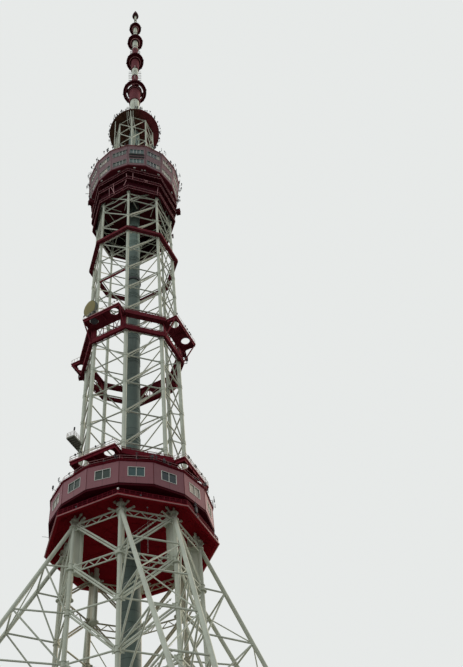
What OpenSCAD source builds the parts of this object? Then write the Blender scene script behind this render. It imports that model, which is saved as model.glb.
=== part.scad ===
// Lattice radio mast, one tenth of full size, in millimetres.
// The origin is on the ground at the middle of the tower, Z points up.
// The sides of the octagon face the axes, and the four legs lie on the diagonals.

/* [Tower] */
// Height of one lattice panel
panel_h = 806; // [790:1:820]
// Height of the concrete footings
footing_h = 170; // [120:1:220]
// Radius of the shaft to its column axes
shaft_r = 995; // [980:1:1010]
// Step from the shaft's column axes out to those of the base trunk
column_step = 150; // [130:1:170]
// Radius of the cage above the upper pod
cage_r = 600; // [560:1:640]
// Distance of each leg's foot from the middle
leg_reach = 4640; // [4500:1:4800]
// Half the distance between a leg's two tubes at its foot
leg_foot_half = 62; // [58:1:80]

/* [Tubes] */
// Radius of the columns of the base
base_col_r = 37; // [35:1:42]
// Radius of the lowest shaft columns
shaft_col_low = 40; // [38:1:44]
// Radius of the middle shaft columns
shaft_col_mid = 36; // [33:1:37]
// Radius of the highest shaft columns
shaft_col_high = 28; // [25:1:32]
// Radius of the cage columns
cage_col_r = 24; // [21:1:28]
// Radius of the leg tubes
leg_r = 34; // [31:1:38]
// Diameter of the level bars
girt_d = 30; // [26:1:34]
// Diameter of the sloping bars
brace_d = 28; // [24:1:33]
// Radius of the lift pipe
pipe_r = 165; // [150:1:175]

/* [Lower pod] */
// Corner radius of the gallery's rim
rim_r = 1483; // [1470:1:1520]
// Corner radius of the pod's wall
pod_r = 1425; // [1400:1:1440]
// Height of the pod's wall
pod_wall_h = 480; // [450:1:482]
// Width of a pod window
pod_win_w = 268; // [200:1:340]
// Height of a pod window
pod_win_h = 196; // [150:1:240]
// Height of the window sill above the pod's floor
pod_sill = 154; // [100:1:180]
// Corner radius of the crown deck
crown_r = 1203; // [1180:1:1230]
// Distance of a platform's outer edge from the middle
platform_out = 1320; // [1290:1:1350]
// Diameter of the holes in the platforms
platform_hole = 200; // [120:1:210]

/* [Middle decks] */
// Corner radius of the lower middle ring
ring_low_r = 1110; // [1100:1:1140]
// Corner radius of the upper middle ring
ring_high_r = 1170; // [1150:1:1200]
// Corner radius of the single ring above
ring_top_r = 1133; // [1110:1:1160]
// Thickness of a walkway
deck_t = 26; // [16:1:30]

/* [Upper pod] */
// Corner radius of the skirt under the upper pod
skirt_r = 1105; // [1095:1:1120]
// Corner radius of the wall at its foot
upper_r_foot = 1226; // [1210:1:1250]
// Corner radius of the wall at its top
upper_r_top = 1322; // [1300:1:1340]
// Height of the upper pod's wall
upper_wall_h = 1000; // [970:1:1020]
// Width of an upper window
upper_win_w = 390; // [300:1:400]
// Height of an upper window
upper_win_h = 205; // [150:1:220]

/* [Mast] */
// Radius of the canopy disc
canopy_r = 817; // [780:1:850]
// Radii of the four mast discs from the lowest
disc_r = [426, 340, 317, 252];
// Heights of the mast discs above the canopy
disc_h = [3690, 6980, 9380, 11270];
// Height of the spike's tip above the canopy
tip_h = 14030; // [13900:1:14200]

/* [Hidden] */
wall_t = 25;
joint = 0.6;
fit = 0.3;
half_a = 22.5;
ch = cos(half_a);
sh = sin(half_a);
base_r = shaft_r + column_step;
base_top = 9;
shaft_top = 24;
cage_top = 30;

function z_at(j) = footing_h + j * panel_h;

soffit_z = z_at(base_top) + 196;
rim_z = z_at(base_top) + 16;
soffit_t = 30;
plinth_h = 30;
pod_floor_t = 40;
pod_floor_z = soffit_z + soffit_t + plinth_h + pod_floor_t;
pod_top_z = pod_floor_z + pod_wall_h;
roof_t = 30;
pod_roof_top = pod_top_z + roof_t;
crown_z = z_at(10.5) - deck_t;
low_ring_z = z_at(15) - deck_t;
high_ring_z = z_at(15.5) + 20;
top_ring_z = z_at(20) - deck_t;
skirt_z = z_at(22.5) - 40;
skirt_rings_z = [skirt_z, z_at(23), z_at(23.5) - 10];
skirt_rings_r = [1151, 1196, 1222];
upper_floor_z = z_at(shaft_top) - 94;
upper_floor_t = 30;
upper_wall_z = upper_floor_z + upper_floor_t;
upper_top_z = upper_wall_z + upper_wall_h;
upper_roof_top = upper_top_z + roof_t;
canopy_z = z_at(cage_top);
canopy_t = 70;
canopy_top = canopy_z + canopy_t;

function col_ap(r) = r * ch;
function shaft_col(j) = j <= 15 ? shaft_col_low : j <= 20 ? shaft_col_mid : shaft_col_high;

// A straight bar of few sides between two points
module bar(p, q, d, sides = 6, turn = 0) {
    v = q - p;
    len = norm(v);
    translate(p)
        rotate([0, acos(v[2] / len), atan2(v[1], v[0])])
            rotate(turn)
                cylinder(d = d, h = len, $fn = sides);
}

// Turns a child drawn on the front side onto side k
module on_side(k) {
    rotate([0, 0, 45 * k]) children();
}

// Turns a child drawn along X onto corner k, the left end of side k
module on_corner(k) {
    rotate([0, 0, -90 - half_a + 45 * k]) children();
}

// A flat lattice side between two columns, with a bar across on each level that has one.
// The sloping bars rise to the left end, or to the right end when s is -1.
// A pair value above 0 makes each a pair of tubes, held by plates at the columns.
touch = 0.02;
plate_w = 70;
plate_t = 10;

module end_plate(x, z, h) {
    translate([x - plate_w / 2, -plate_t / 2, z - h / 2]) cube([plate_w, plate_t, h]);
}

module lattice_side(r, girts, zs, col, s, pair = 0, d_girt = girt_d, d_brace = brace_d) {
    h = r * sh;
    last = len(zs) - 1;
    plate_h = pair > 0 ? 150 : 90;
    translate([0, -r * ch, 0]) {
        for (i = [0 : last]) {
            e = h - col_ap(col[i]) - touch;
            if (girts[i])
                bar([-e, 0, zs[i]], [e, 0, zs[i]], d_girt, 6, 30);
            if (i < last && (pair > 0 || !girts[i]))
                end_plate(s * (e - plate_w / 2), zs[i], plate_h);
            if (i > 0 && (pair > 0 || !girts[i]))
                end_plate(-s * (e - plate_w / 2), zs[i], plate_h);
        }
        for (i = [0 : last - 1]) {
            e = h - col_ap(max(col[i], col[i + 1])) - touch - (pair > 0 ? plate_w * 0.6 : d_brace / 2);
            for (o = pair > 0 ? [-pair, pair] : [0])
                bar([-s * e, 0, zs[i + 1] + o], [s * e, 0, zs[i] + o], d_brace, pair > 0 ? 4 : 6);
        }
    }
}

// The base trunk's flat sides: level bars and pairs of sloping tubes.
// The two highest levels have laced double chords.
foot_lift = 76;
pair_half = 30;
chord_drop = 110;
chord_d = 24;
lace_d = 16;
lace_count = 4;
base_zs = [for (j = [0 : base_top]) j == 0 ? footing_h + foot_lift : z_at(j)];

module base_side(k) {
    e = base_r * sh - col_ap(base_col_r) - touch;
    lace_e = e - plate_w;
    step = 2 * lace_e / lace_count;
    on_side(k) {
        lattice_side(base_r, [for (j = [0 : base_top]) j > 0], base_zs,
            [for (j = [0 : base_top]) base_col_r], k % 2 == 0 ? 1 : -1, pair_half);
        translate([0, -base_r * ch, 0])
            for (j = [base_top - 1, base_top]) {
                bar([-e, 0, z_at(j) - chord_drop], [e, 0, z_at(j) - chord_drop], chord_d);
                for (i = [0 : lace_count - 1])
                    bar([-lace_e + step * i, 0, z_at(j) - (i % 2) * chord_drop],
                        [-lace_e + step * (i + 1), 0, z_at(j) - ((i + 1) % 2) * chord_drop], lace_d, 4);
            }
    }
}

// The base trunk's columns
module base_columns() {
    for (k = [0 : 7])
        on_corner(k)
            translate([base_r, 0, footing_h])
                cylinder(r = base_col_r, h = soffit_z - footing_h, $fn = 8);
}

// The collar at the head of each column with its two sloping struts to the pod's underside,
// and the deep webs that tie the shaft's columns into the trunk
collar_z = z_at(base_top) + 84;
collar_h = 18;
collar_w = 30;
strut_d = 32;
strut_foot = 60;
strut_head = 125;
web_t = 2 * (col_ap(base_col_r) * ch - girt_d / 2 * sh - 3);
web_drop = 60;
web_z = z_at(base_top - 1) - web_drop;

module column_strut() {
    rise = soffit_z - collar_z;
    p = [strut_foot, 0, collar_h / 2];
    q = [strut_head, 0, rise];
    intersection() {
        bar(p, q + (q - p) / 4, strut_d, 6, 30);
        translate([0, -50, 0]) cube([200, 100, rise - fit]);
    }
}

module column_joints() {
    for (k = [0 : 7])
        on_corner(k) {
            translate([base_r, 0, collar_z]) {
                difference() {
                    cylinder(r = base_col_r + collar_w, h = collar_h, $fn = 8);
                    translate([0, 0, -1]) cylinder(r = base_col_r + fit, h = collar_h + 2, $fn = 8);
                }
                for (s = [-1, 1])
                    rotate(s * (90 + half_a)) column_strut();
            }
            difference() {
                translate([shaft_r, -web_t / 2, web_z])
                    cube([base_r - shaft_r, web_t, panel_h]);
                translate([shaft_r, 0, web_z - 1])
                    cylinder(r = shaft_col_low + fit, h = panel_h + 2, $fn = 8);
                translate([base_r, 0, web_z - 1])
                    cylinder(r = base_col_r + fit, h = panel_h + 2, $fn = 8);
            }
        }
}

// A leg: two tubes that lean from its foot to the trunk's highest nodes.
// Each is braced back to its column in one upright plane.
leg_in = base_r * ch;
leg_half = base_r * sh;
leg_face = leg_in + col_ap(base_col_r) + touch;
leg_plate_t = 26;
foot_pad = 60;

function leg_t(j) = (base_top - j) / base_top;
function leg_y(j) = -(leg_in + (leg_reach - leg_in) * leg_t(j));
function leg_x(j) = leg_half + (leg_foot_half - leg_half) * leg_t(j);
function leg_pt(j, s) = [s * leg_x(j), leg_y(j), z_at(j)];

// Each tube has a flanged joint a little below its first level
leg_joint_drop = 100;
flange_t = 9;
flange_w = 18;
cut_j = 1 - leg_joint_drop / panel_h;
flange_j = flange_t / norm(leg_pt(1, 1) - leg_pt(0, 1));

module leg_flange(j, s) {
    bar(leg_pt(j, s), leg_pt(j + flange_j, s), 2 * (leg_r + flange_w), 8, half_a);
}

module leg_tube(s) {
    leg_flange(cut_j, s);
    intersection() {
        bar(leg_pt(cut_j + flange_j / 2, s), leg_pt(base_top + 0.2, s), 2 * leg_r, 8, half_a);
        translate([s * leg_half - 1000, -leg_reach, footing_h])
            cube([2000, leg_reach - leg_face, z_at(base_top)]);
    }
}

module leg(k) {
    bar_in = leg_face + 2;
    on_side(k)
        for (s = [-1, 1]) {
            leg_tube(s);
            for (j = [1 : base_top - 1])
                bar([s * leg_half, -bar_in, z_at(j)], leg_pt(j, s), girt_d);
            for (j = [2 : base_top - 1])
                bar([s * leg_half, -bar_in - girt_d / 2, z_at(j - 1)], leg_pt(j, s), brace_d);
        }
}

// The lowest lengths of the leg tubes on their foot plates, and the lowest braces to the trunk
brace_drop = 56;

module leg_feet() {
    bar_in = leg_face + 2 + girt_d / 2;
    for (k = [1 : 2 : 7])
        on_side(k)
            for (s = [-1, 1]) {
                leg_flange(cut_j - flange_j, s);
                intersection() {
                    bar(leg_pt(-0.1, s), leg_pt(cut_j - flange_j / 2, s), 2 * leg_r, 8, half_a);
                    translate([s * leg_foot_half - 500, -leg_reach - 300, footing_h])
                        cube([1000, 1000, panel_h]);
                }
                translate([s > 0 ? joint / 2 : -leg_foot_half - foot_pad, -leg_reach - foot_pad - 20, footing_h])
                    cube([leg_foot_half + foot_pad - joint / 2, 2 * foot_pad + 20, leg_plate_t]);
                difference() {
                    bar([s * leg_half, -bar_in, footing_h + foot_lift], leg_pt(1 - brace_drop / panel_h, s), brace_d);
                    bar(leg_pt(0, s), leg_pt(base_top, s), 2 * leg_r + 2 * fit, 8, half_a);
                }
                translate([s * leg_half - plate_t / 2, -leg_face - plate_w, footing_h + foot_lift - 45])
                    cube([plate_t, plate_w, 90]);
            }
}

// The ties and zigzag bars between a leg's two tubes
tie_gap = 2.4;
zigzag_d = 20;

module leg_ties() {
    tie_in = leg_r * ch + tie_gap;
    for (k = [1 : 2 : 7])
        on_side(k) {
            for (j = [1 : base_top - 1])
                bar([tie_in - leg_x(j), leg_y(j), z_at(j)], [leg_x(j) - tie_in, leg_y(j), z_at(j)], girt_d);
            for (j = [2 : base_top - 1]) {
                s = j % 2 == 0 ? 1 : -1;
                end = tie_in + girt_d / 2;
                bar([s * (leg_x(j) - end), leg_y(j), z_at(j)],
                    [-s * (leg_x(j - 1) - end), leg_y(j - 1), z_at(j - 1)], zigzag_d);
            }
        }
}

// Footings
module leg_footings() {
    for (k = [1 : 2 : 7])
        on_side(k)
            translate([-leg_foot_half - 130, -leg_reach - 190, 0])
                cube([2 * leg_foot_half + 260, 320, footing_h]);
}

module trunk_plinth() {
    linear_extrude(footing_h)
        polygon([for (k = [0 : 7]) (base_r + 120) * [cos(half_a + 45 * k), sin(half_a + 45 * k)]]);
}

// The pipe in the middle, with its joint flanges, that the lift runs in
module lift_pipe() {
    translate([0, 0, footing_h]) cylinder(r = pipe_r, h = canopy_z - footing_h, $fn = 48);
    for (j = [1 : 8])
        translate([0, 0, z_at(j) + 190]) cylinder(r = pipe_r + 8, h = 16, $fn = 48);
    for (j = [11 : 23])
        translate([0, 0, z_at(j) + 190]) cylinder(r = pipe_r + 8, h = 16, $fn = 48);
}

// A corner of a deck's segment, in the frame of its side
function seg_pt(r, s) = [s * (r * sh - joint / 2), -r * ch];

// The middle corner of a segment with two facets
function mid_pt(r) = [0, -r];

// A flat deck segment of an eight sided or sixteen sided deck, notched round the columns
module deck_segment(r_out, r_in, z, t, col, facets = 1, axis_r = shaft_r) {
    outer = facets == 2
        ? [seg_pt(r_out, -1), mid_pt(r_out), seg_pt(r_out, 1)]
        : [seg_pt(r_out, -1), seg_pt(r_out, 1)];
    translate([0, 0, z])
        linear_extrude(t)
            difference() {
                polygon(concat([seg_pt(r_in, 1), seg_pt(r_in, -1)], outer));
                if (col > 0)
                    for (s = [-1, 1])
                        translate([s * axis_r * sh, -axis_r * ch])
                            rotate(-90 + s * half_a) circle(r = col + fit, $fn = 8);
            }
}

// A narrow walkway round the shaft, in eight straight lengths
module walkway(r_out, z, col) {
    for (k = [0 : 7])
        on_side(k) deck_segment(r_out, shaft_r + col + fit, z, deck_t, 0);
}

// A walkway with a platform on every second side, each with two holes
module platform_deck(r_out, z, col) {
    r_in = shaft_r + col + fit;
    for (k = [0 : 7])
        on_side(k)
            if (k % 2 == 1)
                deck_segment(r_out, r_in, z, deck_t, 0);
            else
                translate([0, 0, z])
                    linear_extrude(deck_t)
                        difference() {
                            polygon([seg_pt(r_in, 1), seg_pt(r_in, -1), seg_pt(r_out, -1),
                                [-r_out * sh, -platform_out], [r_out * sh, -platform_out], seg_pt(r_out, 1)]);
                            for (s = [-1, 1])
                                translate([s * r_out * sh * 0.56, -platform_out + 45 + platform_hole / 2])
                                    circle(d = platform_hole, $fn = 8);
                        }
}

// A length of railing cut from one sheet: rails and posts round open bays
module rail_panel(len, h, bays) {
    w = (len - 10) / bays;
    translate([-len / 2, 2, 0])
        rotate([90, 0, 0])
            linear_extrude(4)
                difference() {
                    square([len, h]);
                    for (b = [0 : bays - 1])
                        translate([10 + b * w, 12]) square([w - 10, h / 2 - 16]);
                    for (b = [0 : bays - 1])
                        translate([10 + b * w, h / 2 + 4]) square([w - 10, h / 2 - 12]);
                }
}

// Lower pod
module slope_segment(r0, r1, z0, z1, t) {
    a = seg_pt(r0, -1);
    b = seg_pt(r0, 1);
    c = seg_pt(r1, 1);
    d = seg_pt(r1, -1);
    polyhedron(
        points = [
            [a[0], a[1], z0], [b[0], b[1], z0], [c[0], c[1], z1], [d[0], d[1], z1],
            [a[0], a[1], z0 + t], [b[0], b[1], z0 + t], [c[0], c[1], z1 + t], [d[0], d[1], z1 + t]],
        faces = [[0, 1, 2, 3], [7, 6, 5, 4], [0, 4, 5, 1], [1, 5, 6, 2], [2, 6, 7, 3], [3, 7, 4, 0]]);
}

soffit_overhang = 140;
soffit_r = base_r + soffit_overhang;

module lower_soffit() {
    for (k = [0 : 7])
        on_side(k)
            deck_segment(soffit_r, pipe_r + 8 + fit, soffit_z, soffit_t, shaft_col_low);
}

module lower_gallery() {
    for (k = [0 : 7])
        on_side(k) {
            deck_segment(rim_r, rim_r - 60, rim_z, soffit_t, 0);
            slope_segment(rim_r - 30, soffit_r + fit, rim_z, soffit_z, soffit_t);
        }
}

module gallery_railing() {
    for (k = [0 : 7])
        on_side(k)
            translate([0, -(rim_r - 12) * ch, rim_z + soffit_t])
                rail_panel(2 * (rim_r - 12) * sh - 12, 100, 9);
}

module lower_plinth() {
    for (k = [0 : 7])
        on_side(k)
            deck_segment(soffit_r - 12, soffit_r - 60, soffit_z + soffit_t, plinth_h, 0);
}

module lower_floor() {
    for (k = [0 : 7])
        on_side(k)
            deck_segment(pod_r, pipe_r + 8 + fit, pod_floor_z - pod_floor_t, pod_floor_t, shaft_col_low, 2);
}

// One facet of a sixteen sided wall that may lean, in the frame of its facet
facet_a = 11.25;
fc = cos(facet_a);
fs = sin(facet_a);

function facet_pt(r, s) = [s * (r * fs - joint / 2), -r * fc];

module wall_facet(r0, r1, z0, h, t) {
    a = facet_pt(r0, -1);
    b = facet_pt(r0, 1);
    c = facet_pt(r0 - t, 1);
    d = facet_pt(r0 - t, -1);
    e = facet_pt(r1, -1);
    f = facet_pt(r1, 1);
    g = facet_pt(r1 - t, 1);
    i = facet_pt(r1 - t, -1);
    polyhedron(
        points = [
            [a[0], a[1], z0], [b[0], b[1], z0], [c[0], c[1], z0], [d[0], d[1], z0],
            [e[0], e[1], z0 + h], [f[0], f[1], z0 + h], [g[0], g[1], z0 + h], [i[0], i[1], z0 + h]],
        faces = [[0, 1, 2, 3], [7, 6, 5, 4], [0, 4, 5, 1], [1, 5, 6, 2], [2, 6, 7, 3], [3, 7, 4, 0]]);
}

module on_facet(i) {
    rotate([0, 0, facet_a + 22.5 * i]) children();
}

module lower_wall() {
    for (i = [0 : 15])
        on_facet(i)
            difference() {
                wall_facet(pod_r, pod_r, pod_floor_z, pod_wall_h, wall_t);
                translate([-pod_win_w / 2, -pod_r, pod_floor_z + pod_sill])
                    cube([pod_win_w, 100, pod_win_h]);
            }
}

module lower_windows() {
    for (i = [0 : 15])
        on_facet(i)
            translate([-pod_win_w / 2 + fit, -pod_r * fc + 8, pod_floor_z + pod_sill + fit])
                cube([pod_win_w - 2 * fit, 6, pod_win_h - 2 * fit]);
}

module lower_roof() {
    for (k = [0 : 7])
        on_side(k)
            deck_segment(pod_r + 14, pipe_r + 8 + fit, pod_top_z, roof_t, shaft_col_low, 2);
}

module crown_posts() {
    for (k = [0 : 7])
        on_corner(k)
            translate([crown_r - 50, 0, pod_roof_top])
                cylinder(r = 16, h = crown_z - pod_roof_top, $fn = 8);
}

module crown_deck() {
    platform_deck(crown_r, crown_z, shaft_col_low);
}

// The plates along the outer edges of the walkways
edge_t = 8;
edge_drop = 34;
edge_gap = 16;

module edge_plates(r_out, z, first, step) {
    for (k = [first : step : 7])
        on_side(k)
            deck_segment(r_out + fit + edge_t, r_out + fit, z - edge_drop, edge_drop + deck_t, 0);
}

// The girder under a platform: a plate along three edges, a beam between the holes, and ribs
girder_h = 60;
girder_in = 14;
rib_t = 6;
rib_count = 7;

module platform_girders(r_out, z) {
    w = r_out * sh - joint / 2 - girder_in;
    y_in = -r_out * ch - edge_gap;
    y_out = -platform_out + girder_in;
    for (k = [0 : 2 : 7])
        on_side(k)
            translate([0, 0, z - girder_h])
                linear_extrude(girder_h)
                    union() {
                        difference() {
                            translate([-w, y_out]) square([2 * w, y_in - y_out]);
                            translate([-w + edge_t, y_out + edge_t]) square([2 * (w - edge_t), 500]);
                        }
                        translate([-edge_t / 2, y_out]) square([edge_t, y_in - y_out]);
                        for (i = [0 : rib_count - 1])
                            translate([-w + i * (2 * w - rib_t) / (rib_count - 1), y_out - girder_in + 4])
                                square([rib_t, girder_in]);
                    }
}

module deck_edges() {
    edge_plates(crown_r, crown_z, 1, 2);
    edge_plates(ring_low_r, low_ring_z, 0, 1);
    edge_plates(ring_high_r, high_ring_z, 1, 2);
    edge_plates(ring_top_r, top_ring_z, 0, 1);
    platform_girders(crown_r, crown_z);
    platform_girders(ring_high_r, high_ring_z);
}

// The railings of the platforms, and those of the walkways
rail_h = 110;
rail_set_in = 8;

module platform_railing(r_out, z) {
    for (k = [0 : 2 : 7])
        on_side(k)
            translate([0, -platform_out + 2, z + deck_t])
                rail_panel(2 * r_out * sh - 12, rail_h, 6);
}

module walkway_railing(r_out, z, first, step) {
    for (k = [first : step : 7])
        on_side(k)
            translate([0, -(r_out - rail_set_in) * ch, z + deck_t])
                rail_panel(2 * (r_out - rail_set_in) * sh - 30, rail_h, 5);
}

module walkway_railings() {
    walkway_railing(crown_r, crown_z, 1, 2);
    walkway_railing(ring_low_r, low_ring_z, 0, 1);
    walkway_railing(ring_high_r, high_ring_z, 1, 2);
}

// The shaft: its columns, and its flat sides on every level between the two pods
module shaft_columns() {
    for (k = [0 : 7])
        on_corner(k)
            translate([shaft_r, 0, 0]) {
                translate([0, 0, web_z])
                    cylinder(r = shaft_col_low, h = z_at(15) - web_z, $fn = 8);
                translate([0, 0, z_at(15)])
                    cylinder(r = shaft_col_mid, h = z_at(20) - z_at(15), $fn = 8);
                translate([0, 0, z_at(20)])
                    cylinder(r = shaft_col_high, h = upper_top_z - z_at(20), $fn = 8);
            }
}

shaft_zs = [for (j = [10 : shaft_top])
    j == 10 ? pod_roof_top + 46 : j == shaft_top ? upper_floor_z - 46 : z_at(j)];

module shaft_side(k) {
    on_side(k)
        lattice_side(shaft_r, [for (j = [10 : shaft_top]) j > 10], shaft_zs,
            [for (j = [10 : shaft_top]) shaft_col(j)], k % 2 == 0 ? 1 : -1);
}

// Middle decks
module mid_low_ring() {
    walkway(ring_low_r, low_ring_z, shaft_col_low);
}

// Posts between the two rings, and brackets from the lower ring's edge out to the platforms' girders
bracket_d = 30;

module mid_posts() {
    edge_y = (ring_low_r + fit + edge_t) * ch + touch;
    foot_z = low_ring_z + (deck_t - edge_drop) / 2;
    head_x = ring_high_r * sh - joint / 2 - girder_in - edge_t / 2;
    head_z = high_ring_z - girder_h;
    for (k = [0 : 7])
        on_corner(k)
            translate([ring_low_r - 30, 0, low_ring_z + deck_t])
                cylinder(r = 14, h = high_ring_z - low_ring_z - deck_t, $fn = 8);
    for (k = [0 : 2 : 7])
        on_side(k)
            for (s = [-1, 1]) {
                p = [s * (ring_low_r * sh - 25), -edge_y, foot_z];
                q = [s * head_x, -platform_out + 50, head_z];
                intersection() {
                    bar(p - (q - p) / 8, q + (q - p) / 8, bracket_d, 4, 45);
                    translate([s * 400 - 400, -platform_out - 200, low_ring_z - 300])
                        cube([800, platform_out + 200 - edge_y, head_z - low_ring_z + 300]);
                }
            }
}

module mid_deck() {
    platform_deck(ring_high_r, high_ring_z, shaft_col_mid);
}

module top_ring() {
    walkway(ring_top_r, top_ring_z, shaft_col_mid);
}

// The drum aerial at the edge of the front platform, on its post
dish_r = 190;
dish_t = 110;
dish_x = -285;
dish_turn = -18;
dish_back = 23;
dish_post_r = 17;
dish_post_h = 140;

module drum_aerial() {
    translate([dish_x, -platform_out + 5 + dish_post_r, high_ring_z + deck_t]) {
        cylinder(r = dish_post_r, h = dish_post_h, $fn = 12);
        translate([0, dish_back, dish_post_h - 5 + dish_r])
            rotate([0, 0, dish_turn])
                rotate([90, 0, 0])
                    translate([0, 0, -dish_t / 2])
                        cylinder(r = dish_r, h = dish_t, $fn = 32);
    }
}

// The small platform that stands out from the shaft's left corner on two arms, with ribs below.
// Its sides run along Y, and its inner end follows the shaft's side.
side_deck_x = [-930, -755];
side_deck_y = -855;
side_deck_gap = 40;
side_deck_t = 16;
side_rib_h = 22;
side_rib_t = 9;
side_ribs = 7;
side_deck_z = z_at(12) - side_deck_t / 2;

function side_inner_y(x) = -(shaft_r * ch + side_deck_gap) * sqrt(2) - x;

module side_outline(x0, x1) {
    polygon([[x0, side_deck_y], [x1, side_deck_y], [x1, side_inner_y(x1)], [x0, side_inner_y(x0)]]);
}

module side_platform() {
    mid_x = (side_deck_x[0] + side_deck_x[1]) / 2;
    translate([0, 0, side_deck_z])
        linear_extrude(side_deck_t)
            side_outline(side_deck_x[0], side_deck_x[1]);
    translate([0, 0, side_deck_z - side_rib_h])
        linear_extrude(side_rib_h)
            intersection() {
                side_outline(side_deck_x[0], side_deck_x[1]);
                union() {
                    for (x = [side_deck_x[0], side_deck_x[1] - side_rib_t])
                        translate([x, side_deck_y]) square([side_rib_t, 1000]);
                    for (i = [0 : side_ribs - 1])
                        translate([side_deck_x[0], side_deck_y + i * 58]) square([400, side_rib_t]);
                }
            }
    // The arms to the shaft's level bar
    on_side(7)
        for (x = [-290, -170])
            translate([x, -shaft_r * ch - side_deck_gap - 12, z_at(12) - 6])
                cube([20, side_deck_gap + 12 - girt_d / 2 - fit, 12]);
}

module side_railing() {
    y_in = side_inner_y(side_deck_x[0]) - 20;
    translate([(side_deck_x[0] + side_deck_x[1]) / 2, side_deck_y + 4, side_deck_z + side_deck_t])
        rail_panel(side_deck_x[1] - side_deck_x[0] - 2, rail_h, 2);
    for (i = [0, 1])
        translate([side_deck_x[i] + (i == 0 ? 3 : -3), (side_deck_y + 10 + side_inner_y(side_deck_x[i]) - 12) / 2,
            side_deck_z + side_deck_t])
            rotate(90)
                rail_panel(side_inner_y(side_deck_x[i]) - side_deck_y - 22, rail_h, i == 0 ? 5 : 3);
}

module platform_railings() {
    platform_railing(crown_r, crown_z);
    platform_railing(ring_high_r, high_ring_z);
    side_railing();
}

// Upper pod
module upper_skirt() {
    for (k = [0 : 7])
        on_side(k)
            deck_segment(skirt_r, skirt_r - 16, skirt_z, upper_floor_z - skirt_z, 0);
}

module skirt_rings() {
    for (i = [0 : 2])
        for (k = [0 : 7])
            on_side(k)
                deck_segment(skirt_rings_r[i], skirt_r + fit, skirt_rings_z[i], deck_t, 0);
}

module upper_floor() {
    for (k = [0 : 7])
        on_side(k)
            deck_segment(upper_r_foot, pipe_r + 8 + fit, upper_floor_z, upper_floor_t, shaft_col_high, 2);
}

sill_low = 110;
sill_high = 600;

function upper_r_at(z) = upper_r_foot + (upper_r_top - upper_r_foot) * z / upper_wall_h;

module upper_wall() {
    for (i = [0 : 15])
        on_facet(i)
            difference() {
                wall_facet(upper_r_foot, upper_r_top, upper_wall_z, upper_wall_h, wall_t);
                for (sill = [sill_low, sill_high])
                    translate([-upper_win_w / 2, -upper_r_top - 10, upper_wall_z + sill])
                        cube([upper_win_w, 200, upper_win_h]);
            }
}

module upper_windows() {
    lean = atan((upper_r_top - upper_r_foot) * fc / upper_wall_h);
    for (i = [0 : 15])
        on_facet(i)
            for (sill = [sill_low, sill_high])
                intersection() {
                    translate([-upper_win_w / 2 + fit, -upper_r_top, upper_wall_z + sill + fit])
                        cube([upper_win_w - 2 * fit, 200, upper_win_h - 2 * fit]);
                    translate([-upper_win_w, -upper_r_at(sill) * fc + 8, upper_wall_z + sill])
                        rotate([lean, 0, 0])
                            translate([0, 0, -100])
                                cube([2 * upper_win_w, 6, upper_win_h + 200]);
                }
}

module upper_roof() {
    for (k = [0 : 7])
        on_side(k)
            deck_segment(upper_r_top + 14, pipe_r + 8 + fit, upper_top_z, roof_t, 0, 2);
}

// The cage above the upper pod
module cage_columns() {
    for (k = [0 : 7])
        on_corner(k)
            translate([cage_r, 0, upper_roof_top])
                cylinder(r = cage_col_r, h = canopy_z - upper_roof_top, $fn = 8);
}

cage_zs = [for (j = [25 : cage_top])
    j == 25 ? upper_roof_top + 46 : j == cage_top ? canopy_z - 46 : z_at(j)];

module cage_sides() {
    for (k = [0 : 7])
        on_side(k)
            lattice_side(cage_r, [for (j = [25 : cage_top]) j > 25], cage_zs,
                [for (j = [25 : cage_top]) cage_col_r], k % 2 == 0 ? 1 : -1, 0, 24, 24);
}

// The canopy, and the mast on it
module canopy() {
    translate([0, 0, canopy_z]) cylinder(r = canopy_r, h = canopy_t, $fn = 96);
}

// The mast's tube lengths: each is [radius, foot, top] above the canopy's top
disc_t = 50;
foot_2 = disc_h[0] + disc_t;
foot_3 = disc_h[1] + disc_t;
foot_4 = disc_h[2] + disc_t;
foot_5 = disc_h[3] + disc_t;
drum_h = 1000;
drum_foot = disc_h[0] - drum_h;
neck_h = 1500;
neck_top = foot_2 + neck_h;
collar_foot = disc_h[1] - 940;
waist_top = foot_3 + 1450;
throat_top = foot_4 + 900;
mast_r = [120, 110, 80];
sleeve_r = [200, 115, 150, 115, 85];
white_tubes = [
    [pipe_r, 0, drum_foot],
    [mast_r[0], neck_top, collar_foot],
    [mast_r[1], waist_top, disc_h[2]],
    [mast_r[2], throat_top, disc_h[3]]];
red_tubes = [
    [sleeve_r[0], drum_foot, disc_h[0]],
    [sleeve_r[1], foot_2, neck_top],
    [sleeve_r[2], collar_foot, disc_h[1]],
    [sleeve_r[3], foot_3, waist_top],
    [sleeve_r[4], foot_4, throat_top]];

module tube_set(list) {
    for (t = list)
        translate([0, 0, canopy_top + t[1]])
            cylinder(r = t[0], h = t[2] - t[1], $fn = 32);
}

module mast_white_tubes() {
    tube_set(white_tubes);
}

module mast_red_tubes() {
    tube_set(red_tubes);
}

// The slots between the lowest disc's hub and its rim, either side of its spokes
slot_r = [270, 305];
slot_count = 4;
slot_a = 62;

module slot_shape() {
    intersection() {
        difference() {
            circle(r = slot_r[1], $fn = 96);
            circle(r = slot_r[0], $fn = 96);
        }
        polygon([[0, 0], 2 * slot_r[1] * [cos(slot_a / 2), -sin(slot_a / 2)],
            2 * slot_r[1] * [cos(slot_a / 2), sin(slot_a / 2)]]);
    }
}

module mast_discs() {
    translate([0, 0, canopy_top + disc_h[0]])
        linear_extrude(disc_t)
            difference() {
                circle(r = disc_r[0], $fn = 96);
                for (i = [0 : slot_count - 1])
                    rotate(i * 360 / slot_count) slot_shape();
            }
    for (i = [1 : 3])
        translate([0, 0, canopy_top + disc_h[i]])
            cylinder(r = disc_r[i], h = disc_t, $fn = 48);
}

bell_h = 13150;
bell_r = 143;

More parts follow.
